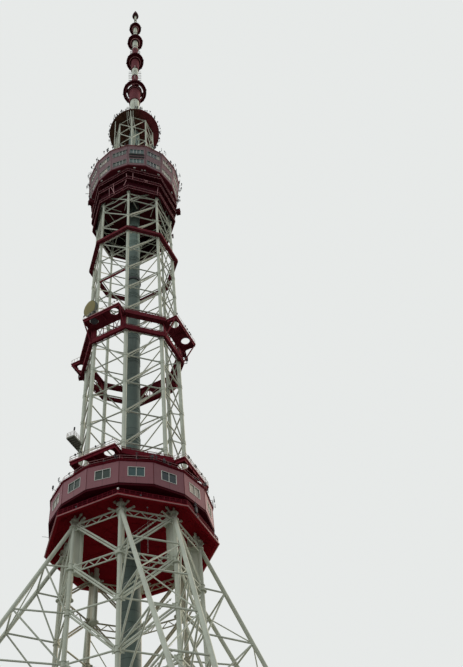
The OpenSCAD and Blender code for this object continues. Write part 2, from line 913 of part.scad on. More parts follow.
module spike() {
    translate([0, 0, canopy_top + foot_5])
        cylinder(r = 38, h = bell_h - foot_5, $fn = 16);
    translate([0, 0, canopy_top + bell_h])
        cylinder(r1 = bell_r, r2 = 40, h = 190, $fn = 32);
    translate([0, 0, canopy_top + bell_h + 190])
        cylinder(r1 = 24, r2 = 8, h = tip_h - bell_h - 190, $fn = 16);
}

white_paint = [0.78, 0.80, 0.76];
red_paint = [0.36, 0.04, 0.07];
wall_paint = [0.47, 0.30, 0.34];
slate_paint = [0.32, 0.38, 0.37];

color("silver") leg_footings();
color("silver") trunk_plinth();
color(white_paint) leg(1);  // leg_front_right
color(white_paint) leg(3);  // leg_back_right
color(white_paint) leg(5);  // leg_back_left
color(white_paint) leg(7);  // leg_front_left
color(white_paint) leg_feet();
color(white_paint) leg_ties();
color(white_paint) base_columns();
color(white_paint) column_joints();
color(white_paint) for (k = [0, 4]) base_side(k);  // base_sides_front_back
color(white_paint) for (k = [2, 6]) base_side(k);  // base_sides_right_left
color(white_paint) for (k = [1, 5]) base_side(k);  // base_sides_diagonal_a
color(white_paint) for (k = [3, 7]) base_side(k);  // base_sides_diagonal_b
color(slate_paint) lift_pipe();
color(red_paint) lower_soffit();
color(red_paint) lower_gallery();
color(red_paint) gallery_railing();
color(red_paint) lower_plinth();
color(red_paint) lower_floor();
color(wall_paint) lower_wall();
color("teal") lower_windows();
color(red_paint) lower_roof();
color(red_paint) crown_posts();
color(red_paint) crown_deck();
color(white_paint) shaft_columns();
color(white_paint) for (k = [0, 4]) shaft_side(k);  // shaft_sides_front_back
color(white_paint) for (k = [2, 6]) shaft_side(k);  // shaft_sides_right_left
color(white_paint) for (k = [1, 5]) shaft_side(k);  // shaft_sides_diagonal_a
color(white_paint) for (k = [3, 7]) shaft_side(k);  // shaft_sides_diagonal_b
color(red_paint) mid_low_ring();
color(red_paint) mid_posts();
color(red_paint) mid_deck();
color(red_paint) top_ring();
color(red_paint) deck_edges();
color(red_paint) walkway_railings();
color(white_paint) platform_railings();
color("olive") drum_aerial();
color("olive") side_platform();
color(red_paint) upper_skirt();
color(red_paint) skirt_rings();
color(red_paint) upper_floor();
color(wall_paint) upper_wall();
color("teal") upper_windows();
color(red_paint) upper_roof();
color(white_paint) cage_columns();
color(white_paint) cage_sides();
color(red_paint) canopy();
color(white_paint) mast_white_tubes();
color(red_paint) mast_red_tubes();
color(red_paint) mast_discs();
color(white_paint) spike();
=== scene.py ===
"""Looks of a lattice radio mast with eight sides, a scale model at one tenth, in metres.

The mast stands on the origin and Z points up. A side is named by the degrees that it is turned from the front
side, which faces -Y. The corner of a side is its left end, seen from outside.
"""
import math

import bpy
import numpy as np
from mathutils import Matrix, Vector


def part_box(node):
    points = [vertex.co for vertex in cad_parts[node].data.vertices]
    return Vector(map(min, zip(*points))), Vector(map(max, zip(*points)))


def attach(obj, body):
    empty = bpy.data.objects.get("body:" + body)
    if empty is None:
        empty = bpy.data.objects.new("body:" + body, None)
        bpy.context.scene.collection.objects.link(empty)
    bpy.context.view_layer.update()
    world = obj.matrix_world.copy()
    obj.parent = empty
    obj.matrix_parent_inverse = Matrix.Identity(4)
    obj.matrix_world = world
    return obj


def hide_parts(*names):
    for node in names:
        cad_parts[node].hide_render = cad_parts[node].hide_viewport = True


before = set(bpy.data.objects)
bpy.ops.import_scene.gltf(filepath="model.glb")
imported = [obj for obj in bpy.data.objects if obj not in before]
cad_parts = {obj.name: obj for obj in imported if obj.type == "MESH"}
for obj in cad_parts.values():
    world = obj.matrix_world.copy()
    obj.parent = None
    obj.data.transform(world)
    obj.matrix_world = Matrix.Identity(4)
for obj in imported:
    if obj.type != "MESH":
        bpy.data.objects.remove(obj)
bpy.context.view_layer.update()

# Panel height and foot of the lattice; radii of the trunk, shaft and cage, and of their columns; the legs;
# the pipe; radii of the bars, half the step of a pair of bars, and the drop of a second chord
PANEL, FOOT = 0.806, 0.170
BASE_R, SHAFT_R, CAGE_R = 1.145, 0.995, 0.600
BASE_COL, SHAFT_COL, CAGE_COL = 0.037, (0.040, 0.036, 0.028), 0.024
LEG_REACH, LEG_FOOT_HALF, LEG_TUBE = 4.640, 0.062, 0.034
PIPE_R = 0.165
GIRT, BRACE, CHORD, LACE, PAIR, CHORD_DROP = 0.015, 0.014, 0.012, 0.008, 0.028, 0.110

# Half the angle of one of a wall's sixteen facets; then how far one of eight sides stands from the axis, and
# half its width, for a corner radius of 1
FACET = math.radians(11.25)
CH, SH = math.cos(2 * FACET), math.sin(2 * FACET)

# Angles in degrees: all sides, those over a leg, those with a platform, and the facets; then the azimuth of
# the front side's corner, and the turn from a corner's outward line to the two sides that meet there
SIDES, LEG_SIDES, DECK_SIDES = range(0, 360, 45), range(45, 360, 90), range(0, 360, 90)
FACETS = 11.25 + 22.5 * np.arange(16)
CORNER_A, ALONG = -112.5, 112.5

# Lattice levels of the trunk, the shaft and the cage
TRUNK_LEVELS, SHAFT_LEVELS, CAGE_LEVELS = range(1, 10), range(11, 24), range(26, 30)

# An edge between faces that meet at more than this angle is drawn sharp
SHARP = math.radians(46)

# Heights of the feet and of the tops of nodes
SOFFIT_Z, RIM_Z, POD_Z, CROWN_Z, LOW_Z, HIGH_Z, TOP_RING_Z, UP_Z, SKIRT_Z, CANOPY_Z = (
    float(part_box(node)[0].z) for node in (
        "lower_soffit", "lower_gallery", "lower_wall", "crown_deck", "mid_low_ring", "mid_deck", "top_ring",
        "upper_wall", "upper_skirt", "canopy"))
POD_TOP, ROOF_TOP, UP_TOP, UP_ROOF, CANOPY_TOP, SIDE_DECK_TOP = (
    float(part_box(node)[1].z) for node in (
        "lower_wall", "lower_roof", "upper_wall", "upper_roof", "canopy", "side_platform"))

# Corner radii of pods and decks, platforms and their holes, and discs as heights above the canopy and radii
RIM_R, SOFFIT_R, POD_R, UP_R0, UP_R1, SKIRT_R, CANOPY_R = 1.483, 1.285, 1.425, 1.226, 1.322, 1.105, 0.817
CROWN_R, LOW_R, HIGH_R, TOP_R = 1.203, 1.110, 1.170, 1.133
DECK_OUT, DECK_T, HOLE_R, RAIL_H = 1.320, 0.026, 0.100, 0.108
HOLE_SHARE, HOLE_Y = 0.56, -DECK_OUT + 0.045 + HOLE_R
WALKWAYS = ((CROWN_R, CROWN_Z, LEG_SIDES), (LOW_R, LOW_Z, SIDES), (HIGH_R, HIGH_Z, LEG_SIDES),
            (TOP_R, TOP_RING_Z, SIDES))
PLATFORMS = ((CROWN_R, CROWN_Z), (HIGH_R, HIGH_Z))
SKIRT_RINGS = ((18.265, 1.151), (18.708, 1.196), (19.101, 1.222))
DISCS, DISC_T = ((3.690, 0.426), (6.980, 0.340), (9.380, 0.317), (11.270, 0.252)), 0.050


# Points and directions, as arrays
def z_at(j):
    """Height of lattice level j: the foot plus j panels."""
    return FOOT + np.asarray(j, float) * PANEL


def row(x, y, z):
    """Points (n, 3) from three coordinates, each a number or an array."""
    return np.stack(np.broadcast_arrays(*np.atleast_1d(x, y, z)), -1).astype(float)


def turn(points, degrees):
    """Points turned about Z: x' = x cos a - y sin a, y' = x sin a + y cos a."""
    a = math.radians(degrees)
    x, y, z = np.moveaxis(np.asarray(points, float), -1, 0)
    return np.stack([math.cos(a) * x - math.sin(a) * y, math.sin(a) * x + math.cos(a) * y, z], -1)


def turned(points, angles=SIDES):
    """Copies of points drawn on the front side, turned by each angle."""
    return np.concatenate([turn(np.atleast_2d(points), a) for a in angles])


def at(r, degrees, z):
    """Points at radius r, azimuth in degrees and heights z."""
    a = math.radians(degrees)
    return row(r * math.cos(a), r * math.sin(a), z)


def corner(r, side, z):
    """Points at radius r on a side's corner, at heights z."""
    return at(r, side + CORNER_A, z)


def corners(r, z):
    """Points at radius r on all eight corners, for each height in z."""
    return np.concatenate([corner(r, side, z) for side in SIDES])


def circle(r, count, z, start=0.0):
    """Points evenly round a level circle."""
    a = start + 2 * math.pi * np.arange(count) / count
    return row(r * np.cos(a), r * np.sin(a), z)


def facet_ring(r, z):
    """The sixteen corners of a wall's level outline."""
    return circle(r, 16, z, -math.pi / 2)


def unit(vectors):
    """Vectors scaled to length 1."""
    return vectors / np.linalg.norm(vectors, axis=-1, keepdims=True)


def frames(axis):
    """Two unit vectors square to each unit axis, so that u x w points along it."""
    u = unit(np.cross(np.where(np.abs(axis[:, 2:]) < 0.9, [[0.0, 0.0, 1.0]], [[1.0, 0.0, 0.0]]), axis))
    return u, np.cross(axis, u)


def rings(u, w, sides):
    """Points round a circle in the plane of each u and w: u cos t + w sin t, at even steps of t."""
    t = 2 * math.pi * (np.arange(sides) + 0.5) / sides
    return u[:, None] * np.cos(t)[:, None] + w[:, None] * np.sin(t)[:, None]


def skin(count, sides, closed=False):
    """Faces over rings of points: quads from each ring to the next, then from the last to the first where it
    is closed, or else a flat cap at each end."""
    i, rows = np.arange(sides), np.arange(count - 1 + closed)[:, None]
    j, lo, hi = (i + 1) % sides, rows * sides, (rows + 1) % count * sides
    quads = np.stack([lo + i, lo + j, hi + j, hi + i], -1).reshape(-1, 4)
    return (quads,) if closed else (quads, i[None, ::-1], i[None] + (count - 1) * sides)


def ends_of(start, end, on):
    """The two ends of bars as arrays of one length, turned by each angle in on."""
    ends = np.broadcast_arrays(*(np.atleast_2d(np.asarray(p, float)) for p in (start, end)))
    return [turned(p, on) for p in ends] if len(on) else ends


class Form:
    """Gathers the points and faces of one piece; each maker adds arrays of closed solids. Angles given as on
    turn copies of what is drawn on the front side."""

    def __init__(self):
        self.points, self.faces, self.count = [], [], 0

    def add(self, points, *faces):
        """Adds solids of equal make, points (n, k, 3); the faces index the k points of one."""
        n, k = points.shape[:2]
        first = self.count + k * np.arange(n)[:, None, None]
        self.faces += [(first + f).reshape(-1, f.shape[-1]) for f in faces]
        self.points.append(points.reshape(-1, 3))
        self.count += n * k

    def lathe(self, profile, centres, axis=(0, 0, 1), sides=24, closed=False):
        """Turned solids: each profile pair (r, h) becomes a ring of points
        centre + axis h + r (u cos t + w sin t), and a closed profile joins its last ring to its first."""
        profile, centres = np.array(profile, float), np.atleast_2d(np.asarray(centres, float))
        axis = unit(np.broadcast_to(np.asarray(axis, float), centres.shape))
        p = (centres[:, None, None] + axis[:, None, None] * profile[:, None, 1:]
             + rings(*frames(axis), sides)[:, None] * profile[:, None, :1])
        self.add(p.reshape(len(centres), -1, 3), *skin(len(profile), sides, closed))

    def hoops(self, r0, r1, z0, z1, centres, sides=48):
        """Square rings about the upright axis, between two radii and two heights."""
        self.lathe([(r0, z0), (r1, z0), (r1, z1), (r0, z1)], centres, sides=sides, closed=True)

    def sphere(self, centres, radius, sides=16, count=9):
        """Balls: a half circle turned about the upright axis, with small flat poles."""
        t = np.linspace(-math.pi / 2 + 0.08, math.pi / 2 - 0.08, count)
        self.lathe(np.column_stack([radius * np.cos(t), radius * np.sin(t)]), centres, sides=sides)

    def tubes(self, start, end, radius, sides=12, on=()):
        """Straight round bars: a ring of points about each start and each end, joined by quads and capped."""
        a, b = ends_of(start, end, on)
        ring = radius * rings(*frames(unit(b - a)), sides)
        self.add(np.concatenate([a[:, None] + ring, b[:, None] + ring], 1), *skin(2, sides))

    def posts(self, foot, low, high, radius, sides, on=()):
        """Upright round bars between two heights over each foot."""
        self.tubes(foot + np.array((0, 0, low)), foot + np.array((0, 0, high)), radius, sides, on)

    def rail(self, points, radius, sides=8, closed=False):
        """A bent round rail: a ring at each point, square to the mean of its two directions, and widened
        sideways by 1 / cos of half the bend."""
        p = np.asarray(points, float)
        ahead = np.roll(p, -1, 0) - p
        if not closed:
            ahead[-1] = ahead[-2]
        ahead = unit(ahead)
        behind = np.roll(ahead, 1, 0)
        if not closed:
            behind[0] = ahead[0]
        mean = ahead + behind
        stretch = 2 / np.linalg.norm(mean, axis=1, keepdims=True)
        mean *= stretch / 2
        w = unit([0.0, 0.0, 1.0] - mean * mean[:, 2:])
        ring = radius * rings(np.cross(w, mean) * stretch, w, sides)
        self.add((p[:, None] + ring).reshape(1, -1, 3), *skin(len(p), sides, closed))

    def blocks(self, centre, half, degrees=0.0, on=(), axes=None):
        """Blocks: eight corners at the centre plus or minus the half sizes, along the rows of axes, or along
        X, Y and Z turned about Z by degrees."""
        c = np.atleast_2d(np.asarray(centre, float))
        if len(on):
            degrees, c = np.repeat(on, len(c)), turned(c, on)
        sign = np.array([(x, y, z) for z in (-1, 1) for x, y in ((-1, -1), (1, -1), (1, 1), (-1, 1))], float)
        if axes is None:
            a = np.radians(np.broadcast_to(np.asarray(degrees, float), (len(c),)))
            cos, sin = np.cos(a), np.sin(a)
            axes = np.stack([row(cos, sin, 0), row(-sin, cos, 0), row(0 * a, 0, 1)], 1)
        local = sign * np.broadcast_to(np.asarray(half, float), c.shape)[:, None]
        quads = np.array([(0, 3, 2, 1), (4, 5, 6, 7), (0, 1, 5, 4), (1, 2, 6, 5), (2, 3, 7, 6), (3, 0, 4, 7)])
        self.add(c[:, None] + np.einsum("nij,njk->nik", local, axes), quads)

    def straps(self, start, end, width, height, on=()):
        """Flat bars between two points, width measured level and height square to both."""
        a, b = ends_of(start, end, on)
        length = np.linalg.norm(b - a, axis=1, keepdims=True)
        x = (b - a) / length
        y = unit(np.cross(np.where(np.abs(x[:, 2:]) < 0.99, [[0.0, 0.0, 1.0]], [[0.0, 1.0, 0.0]]), x))
        half = np.hstack([length, 0 * length + width, 0 * length + height]) / 2
        self.blocks((a + b) / 2, half, axes=np.stack([x, y, np.cross(x, y)], 1))

    def slab(self, outline, z0, z1):
        """A level plate: an outline that runs anticlockwise, raised from z0 to z1."""
        quads, low, high = skin(2, len(outline))
        self.add(np.concatenate([outline + (0, 0, z0), outline + (0, 0, z1)])[None], low, high, quads)

    def piece(self, name, finish, slot="red_paint", *instead_of):
        """Makes the object on the model's body, and hides the nodes that it replaces; the slot is not used.
        """
        faces = [face for f in self.faces for face in f.tolist()]
        mesh = bpy.data.meshes.new(name)
        mesh.from_pydata(np.concatenate(self.points), [], faces)
        mesh.polygons.foreach_set("use_smooth", np.ones(len(faces), bool))
        mesh.set_sharp_from_angle(angle=SHARP)
        mesh.materials.append(finish)
        mesh.update()
        made = bpy.data.objects.new(name, mesh)
        bpy.context.scene.collection.objects.link(made)
        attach(made, "root")
        if instead_of:
            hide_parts(*instead_of)


# Finishes, as nodes of a material or a world
class Value:
    """An output socket of a finish's node; arithmetic on it adds Math nodes."""

    def __init__(self, finish, socket):
        self.finish, self.socket = finish, socket

    def math(self, operation, *values):
        """Adds a Math node on numbers or values, in the order of its sockets."""
        return self.finish.node("Math", dict(enumerate(values)), operation=operation)

    def __add__(self, other):
        return self.math("ADD", self, other)

    def __sub__(self, other):
        return self.math("SUBTRACT", self, other)

    def __rsub__(self, other):
        return self.math("SUBTRACT", other, self)

    def __mul__(self, other):
        return self.math("MULTIPLY", self, other)

    def __truediv__(self, other):
        return self.math("DIVIDE", self, other)

    __radd__, __rmul__ = __add__, __mul__

    def floor(self):
        """The whole number below it."""
        return self.math("FLOOR", self)

    def size(self):
        """Its distance from 0."""
        return self.math("ABSOLUTE", self)


class Finish:
    """A material or a world in the making: one method adds all its nodes."""

    def __init__(self, name, kind="materials"):
        self.made = getattr(bpy.data, kind).new(name)
        self.made.use_nodes = True
        self.tree, self.kind = self.made.node_tree, kind
        self.tree.nodes.clear()
        if kind == "materials":
            self.place = self.node("TexCoord", out="Object")

    def node(self, kind, sockets={}, out=0, **settings):
        """Adds a node: its settings first, then the values or links of its sockets."""
        made = self.tree.nodes.new("ShaderNode" + kind)
        for key, value in settings.items():
            setattr(made, key, value)
        for key, value in sockets.items():
            if isinstance(value, Value):
                self.tree.links.new(value.socket, made.inputs[key])
            else:
                made.inputs[key].default_value = value
        if isinstance(out, tuple):
            return [Value(self, made.outputs[name]) for name in out]
        return Value(self, made.outputs[out]) if made.outputs else self.made

    def noise(self, scale, detail=3.0, stretch=(1, 1, 1), rough=0.55, shift=(0, 0, 0)):
        """Noise in object coordinates, stretched along the axes."""
        where = self.node("Mapping", {"Vector": self.place, "Scale": stretch, "Location": shift})
        return self.node("TexNoise", {"Vector": where, "Scale": scale, "Detail": detail, "Roughness": rough})

    def rain(self, scale, length=0.06):
        """Streaks that run down a surface."""
        return self.noise(scale, 4, (1, 1, length), 0.65)

    def cells(self, scale, out):
        """Cells in object coordinates: their colour, or the distance from their middles."""
        return self.node("TexVoronoi", {"Vector": self.place, "Scale": scale}, out)

    def above(self, value, low, high):
        """A mask that rises from 0 at low to 1 at high."""
        return self.node("MapRange", {"Value": value, "From Min": low, "From Max": high},
                         interpolation_type="SMOOTHSTEP")

    def chance(self, number):
        """A random share for each whole number."""
        return self.node("TexWhiteNoise", {"W": number}, noise_dimensions="1D")

    def mix(self, mask, first, second):
        """A colour between two, by a mask."""
        first, second = (v if isinstance(v, Value) else (*v, 1.0) for v in (first, second))
        return self.node("Mix", {0: mask, 6: first, 7: second}, 2, data_type="RGBA")

    def axes(self):
        """The three object coordinates, apart."""
        return self.node("SeparateXYZ", {0: self.place}, ("X", "Y", "Z"))

    def azimuth(self, share):
        """The angle about the upright axis, in parts of which share make a half turn."""
        x, y = self.axes()[:2]
        return y.math("ARCTAN2", y, x) * (share / math.pi)

    def seen(self):
        """1 for rays that show a background: those of the camera, of reflections and through glass."""
        camera, gloss, through = self.node("LightPath", {}, ("Is Camera Ray", "Is Glossy Ray",
                                                             "Is Transmission Ray"))
        return camera.math("MAXIMUM", camera.math("MAXIMUM", camera, gloss), through)

    def either(self, mask, first, second):
        """Ends the material or world with one of two surfaces, by a mask."""
        return self.close(self.node("MixShader", {0: mask, 1: first, 2: second}))

    def close(self, surface):
        """Links the surface to the output, and gives the material or world."""
        output = "OutputMaterial" if self.kind == "materials" else "OutputWorld"
        return self.node(output, {"Surface": surface})

    def glossed(self, tone, rough, **sockets):
        """The Principled surface: other sockets by name, with underscores for spaces."""
        named = {name.replace("_", " "): value for name, value in sockets.items()}
        return self.node("BsdfPrincipled", {"Base Color": tone, "Roughness": rough, **named})

    def shade(self, tone, rough, height, strength, distance, **sockets):
        """Ends a material with a surface whose bump has the given height, strength and distance."""
        bump = self.node("Bump", {"Height": height, "Strength": strength, "Distance": distance})
        return self.close(self.glossed(tone, rough, Normal=bump, **sockets))


def scaled(colour, share):
    """A colour made darker."""
    return tuple(c * share for c in colour)


def paint(name, colour, shadow, rust=0.0, rough=0.5, streak=1.0, gloss=0.35, lit_flank=None, aloft=None,
          back=None):
    """Brushed paint on steel: cloudy tone, rain streaks, specks of rust, and a fine orange peel. The flank
    colour is
    painted light: a lighter colour on the side toward +X. The back colour is painted shade: darker and warmer
    toward -X and +Y. Aloft is a greyer colour high up."""
    f = Finish(name)
    x, y, z = f.axes()
    cloud, rain, fine = f.noise(2.3, 5), f.rain(16), f.noise(160)
    tone = f.mix(f.above(cloud, 0.30, 0.75), colour, scaled(colour, 0.84))
    if aloft:
        tone = f.mix(f.above(z, 8.5, 15.0), tone, aloft)
    # painted shade: the back colour, darker and warmer, is laid toward -X and +Y
    if back:
        tone = f.mix(f.above(y - 0.7 * x + 0.3 * cloud, 0.1, 0.8), tone, back)
    tone = f.mix(f.above(rain, 0.50, 0.78) * (0.55 * streak), tone, shadow)
    # painted light: the flank colour, lighter, is laid on the side toward +X
    if lit_flank:
        tone = f.mix(f.above(x + 0.4 * y + 0.25 * cloud, 0.20, 0.62), tone, lit_flank)
    if rust:
        speck = f.above(f.noise(38, 5, rough=0.7, shift=(3, 1, 2)), 0.64, 0.72)
        tone = f.mix(speck * rust, tone, (0.20, 0.085, 0.035))
    return f.shade(tone, rough + 0.22 * cloud + 0.08 * rain, fine + 0.6 * cloud, 0.5, 0.0012,
                   Specular_IOR_Level=gloss)


def pod_panels(name, colour, shadow):
    """Painted sheet: each facet has its own tone, dark seams at its joints and its middle, and rain marks."""
    f = Finish(name)
    angle = f.azimuth(8)
    facet = angle.floor()
    across = (angle - facet - 0.5).size()
    seam = 1 - f.above(across, 0.006, 0.014)
    joint = f.above(across, 0.484, 0.494)
    rain, cloud = f.rain(14, 0.08), f.noise(3.1, 4)
    tone = f.mix(f.chance(facet + 0.37) * 0.4 + cloud * 0.3, colour, scaled(colour, 0.82))
    tone = f.mix(f.above(rain, 0.48, 0.80) * 0.45, tone, shadow)
    tone = f.mix(seam * 0.55 + joint * 0.8, tone, scaled(shadow, 0.35))
    height = f.noise(9, 2) * 0.9 - seam * 0.8 - joint + 0.05 * f.noise(150, 2)
    return f.shade(tone, 0.50 + 0.16 * cloud, height, 0.5, 0.003, Specular_IOR_Level=0.45)


def pipe_paint(name, colour, shadow):
    """Slate paint on a rolled pipe: courses of plate half a panel high, each with its own tone, and weld
    lines;
    painted light makes it paler at the upper pod, where the pod's shade falls on it."""
    f = Finish(name)
    z = f.axes()[2]
    course = (z - FOOT) / (PANEL / 2)
    number = course.floor()
    weld = f.above((course - number - 0.5).size(), 0.470, 0.490)
    rain, cloud = f.rain(15, 0.05), f.noise(4.0, 4)
    tone = f.mix(f.chance(number + 0.5) * 0.6 + cloud * 0.4, colour, scaled(colour, 0.70))
    # painted light: everything in this finish turns 1.7 times paler from 16.2 up to 17.6 in height, against
    # the shade under the upper pod, the upper windows' frames too
    tone = f.mix(f.above(z, 16.2, 17.6), tone, scaled(colour, 1.7))
    tone = f.mix(f.above(rain, 0.45, 0.78) * 0.6, tone, shadow)
    tone = f.mix(weld * 0.6, tone, scaled(shadow, 0.6))
    return f.shade(tone, 0.55 + 0.2 * cloud, weld * 0.7 + f.noise(120, 2) * 0.2, 0.6, 0.002,
                   Specular_IOR_Level=0.35)


def concrete(name):
    """Cast concrete: board marks, pores, cloudy tone and damp at the foot."""
    f = Finish(name)
    z = f.axes()[2]
    pit = 1 - f.above(f.cells(90.0, "Distance"), 0.10, 0.22)
    cloud, fine = f.noise(3.5, 6), f.noise(70, 4)
    board = z * (1 / 0.034)
    joint = 1 - f.above(board - board.floor(), 0.02, 0.08)
    tone = f.mix(cloud, (0.37, 0.36, 0.33), (0.50, 0.49, 0.45))
    tone = f.mix(pit * 0.6 + joint * 0.3, tone, (0.22, 0.21, 0.19))
    tone = f.mix((1 - f.above(z, 0.0, 0.06)) * 0.6, tone, (0.20, 0.20, 0.165))
    return f.shade(tone, 0.82 + 0.12 * fine, fine * 0.5 - pit * 0.8 - joint * 0.5, 0.8, 0.003)


def window_glass(name):
    """Tinted panes, faintly dusty and mirror smooth, each facet and pane with its own random depth. Painted
    reflections: bands of dark green, teal and dark blue by the way each facet faces, and pale panes on the
    flanks."""
    f = Finish(name)
    z = f.axes()[2]
    facet, pane, angle, dust = f.azimuth(8).floor(), f.azimuth(32).floor(), f.azimuth(1), f.noise(26, 4)
    # painted reflection: panes facing more than 45 degrees round from -63 degrees are made pale, like the sky
    # seen in them
    lit_flank = f.above((angle + 0.35).size() + 0.06 * f.above(z, 12.0, 14.0), 0.245, 0.255)
    # painted reflection: the tint goes by the way each facet faces, dark green, then teal, then dark blue
    tone = f.mix(f.above(angle, -0.38, -0.37), (0.016, 0.028, 0.016), (0.026, 0.090, 0.100))
    tone = f.mix(f.above(angle, -0.26, -0.25), tone, (0.008, 0.022, 0.034))
    tone = f.mix(f.chance(facet + 0.21) * 0.3, tone, (0.014, 0.026, 0.020))
    tone = f.mix(f.chance(pane + 0.7) * 0.35, tone, (0.040, 0.075, 0.070))
    tone = f.mix(lit_flank * (0.60 + 0.4 * f.chance(pane + 0.11)), tone, (0.40, 0.34, 0.28))
    tone = f.mix(f.above(dust, 0.45, 0.9) * 0.15, tone, (0.14, 0.17, 0.16))
    return f.shade(tone, 0.06 + 0.12 * dust, f.noise(5, 2), 0.12, 0.01, IOR=1.38, Coat_Weight=0.1,
                   Coat_Roughness=0.04)


def bare_metal(name, colour, rough, metal=0.9):
    """Galvanised steel: crystal patches, dull spots and a little grime."""
    f = Finish(name)
    grime, grey = f.noise(12, 5), f.node("SeparateColor", {0: f.cells(55.0, "Color")})
    tone = f.mix(grey * 0.5 + grime * 0.4, colour, scaled(colour, 0.62))
    return f.shade(tone, rough + 0.25 * grime, f.noise(90), 0.3, 0.001, Metallic=metal)


def moulded(name, colour, rough=0.5):
    """Moulded plastic or resin: even colour, dust in broad patches and a fine grain."""
    f = Finish(name)
    dust = f.noise(7, 4)
    tone = f.mix(f.above(dust, 0.35, 0.8) * 0.6, colour, tuple(c * 0.7 + 0.03 for c in colour))
    return f.shade(tone, rough + 0.2 * dust, f.noise(220, 2), 0.25, 0.0008, Specular_IOR_Level=0.3)


def lamp_lens(name):
    """Frosted lens of a lamp that is off: milky, with dust."""
    f = Finish(name)
    dust = f.noise(60)
    tone = f.mix(dust, (0.80, 0.81, 0.78), (0.62, 0.63, 0.58))
    return f.shade(tone, 0.25 + 0.2 * dust, dust, 0.2, 0.001, Coat_Weight=0.5)


WHITE = paint("white_lattice_paint", (0.53, 0.565, 0.48), (0.34, 0.33, 0.24), rust=0.5)
# The trunk's white, with painted shade: darker and warmer toward -X and +Y
TRUNK = paint("trunk_lattice_paint", (0.53, 0.565, 0.48), (0.34, 0.33, 0.24), rust=0.6,
              back=(0.42, 0.405, 0.315))
# painted shade: the shaft's bars are painted darker than the white of the columns, so that they look shaded
BARS = paint("shaded_lattice_paint", (0.43, 0.46, 0.39), (0.26, 0.255, 0.19), rust=0.6)
RED = paint("dark_red_paint", (0.122, 0.006, 0.014), (0.056, 0.004, 0.008), rough=0.6, gloss=0.08,
            aloft=(0.122, 0.017, 0.025))
MAST_RED = paint("mast_red_paint", (0.138, 0.036, 0.044), (0.080, 0.020, 0.024), rough=0.6, gloss=0.1)
DARK_RED = paint("shaded_red_paint", (0.050, 0.003, 0.007), (0.026, 0.003, 0.004), rough=0.65, gloss=0.06)
# painted shade: a near black red for the plinth in the recess under the lower pod's wall and the upper pod's
# skirt
SHADE_RED = paint("painted_shade_red_paint", (0.028, 0.002, 0.005), (0.016, 0.002, 0.003), rough=0.7, gloss=0.05)
SOFFIT_RED = paint("soffit_red_paint", (0.215, 0.004, 0.010), (0.12, 0.003, 0.006), rough=0.6, streak=0.5,
                   gloss=0.06)
# painted shade: the canopy's red is painted as a dark brown, with painted light as a brighter red on its
# flank toward +X
SHADED_CANOPY = paint("canopy_shaded_red_paint", (0.070, 0.032, 0.019), (0.040, 0.018, 0.012), rough=0.6, gloss=0.08,
              lit_flank=(0.135, 0.026, 0.030))
PINK = paint("faded_pink_paint", (0.40, 0.185, 0.19), (0.22, 0.08, 0.08), rust=0.3)
DULL_PINK = paint("dull_pink_paint", (0.40, 0.20, 0.21), (0.20, 0.09, 0.09), rust=0.3)
RAIL = paint("pale_rail_paint", (0.56, 0.52, 0.49), (0.34, 0.27, 0.25), rust=0.4)
FRAME = paint("window_frame_paint", (0.60, 0.62, 0.58), (0.38, 0.36, 0.32), streak=0.6, rough=0.4)
BELL = paint("bell_paint", (0.045, 0.012, 0.016), (0.025, 0.010, 0.012), rough=0.6, gloss=0.10)
WALL = pod_panels("pod_wall_panels", (0.208, 0.068, 0.084), (0.135, 0.043, 0.053))
HIGH_WALL = pod_panels("upper_wall_panels", (0.155, 0.077, 0.089), (0.100, 0.050, 0.058))
SLATE = pipe_paint("slate_pipe_paint", (0.106, 0.146, 0.132), (0.062, 0.080, 0.072))
GLASS = window_glass("teal_window_glass")
COVER = moulded("olive_aerial_cover", (0.205, 0.172, 0.058))
DARK_COVER = moulded("dark_aerial_cover", (0.050, 0.066, 0.058))
PLATFORM = moulded("platform_grey_paint", (0.200, 0.210, 0.178), 0.6)
CONCRETE = concrete("cast_concrete")
STEEL = bare_metal("galvanised_steel", (0.36, 0.37, 0.36), 0.42)
DARK_STEEL = bare_metal("dark_fitting_steel", (0.050, 0.050, 0.055), 0.55, 0.4)
LENS = lamp_lens("frosted_lamp_lens")

for finish, nodes in (
        (SHADE_RED, "lower_plinth upper_skirt"),
        (DARK_RED, "lower_floor skirt_rings mast_discs"),
        (RED, "lower_roof crown_posts crown_deck mid_low_ring mid_posts mid_deck top_ring deck_edges"),
        (RED, "upper_floor upper_roof"),
        (MAST_RED, "mast_red_tubes"),
        (SOFFIT_RED, "lower_soffit lower_gallery"),
        (SHADED_CANOPY, "canopy"),
        (WALL, "lower_wall"),
        (HIGH_WALL, "upper_wall"),
        (GLASS, "lower_windows upper_windows"),
        (WHITE, "mast_white_tubes"),
        (TRUNK, "column_joints"),
        (CONCRETE, "leg_footings trunk_plinth"),
        (SLATE, "lift_pipe"),
        (PLATFORM, "side_platform")):
    for node in nodes.split():
        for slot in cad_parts[node].material_slots:
            slot.material = finish


# Columns and the plates and sleeves on them
def sleeves(form, r, zs, tube, half=0.050, lip=0.010, over=0.006):
    """Sleeves round the columns at each level: a thicker length with a raised lip at each end."""
    wide = tube + over
    form.lathe([(tube + 0.001, -half - 0.002), (wide + lip, -half), (wide + lip, -half + 0.012),
                (wide, -half + 0.014), (wide, half - 0.014), (wide + lip, half - 0.012), (wide + lip, half),
                (tube + 0.001, half + 0.002)], corners(r, zs), sides=20)


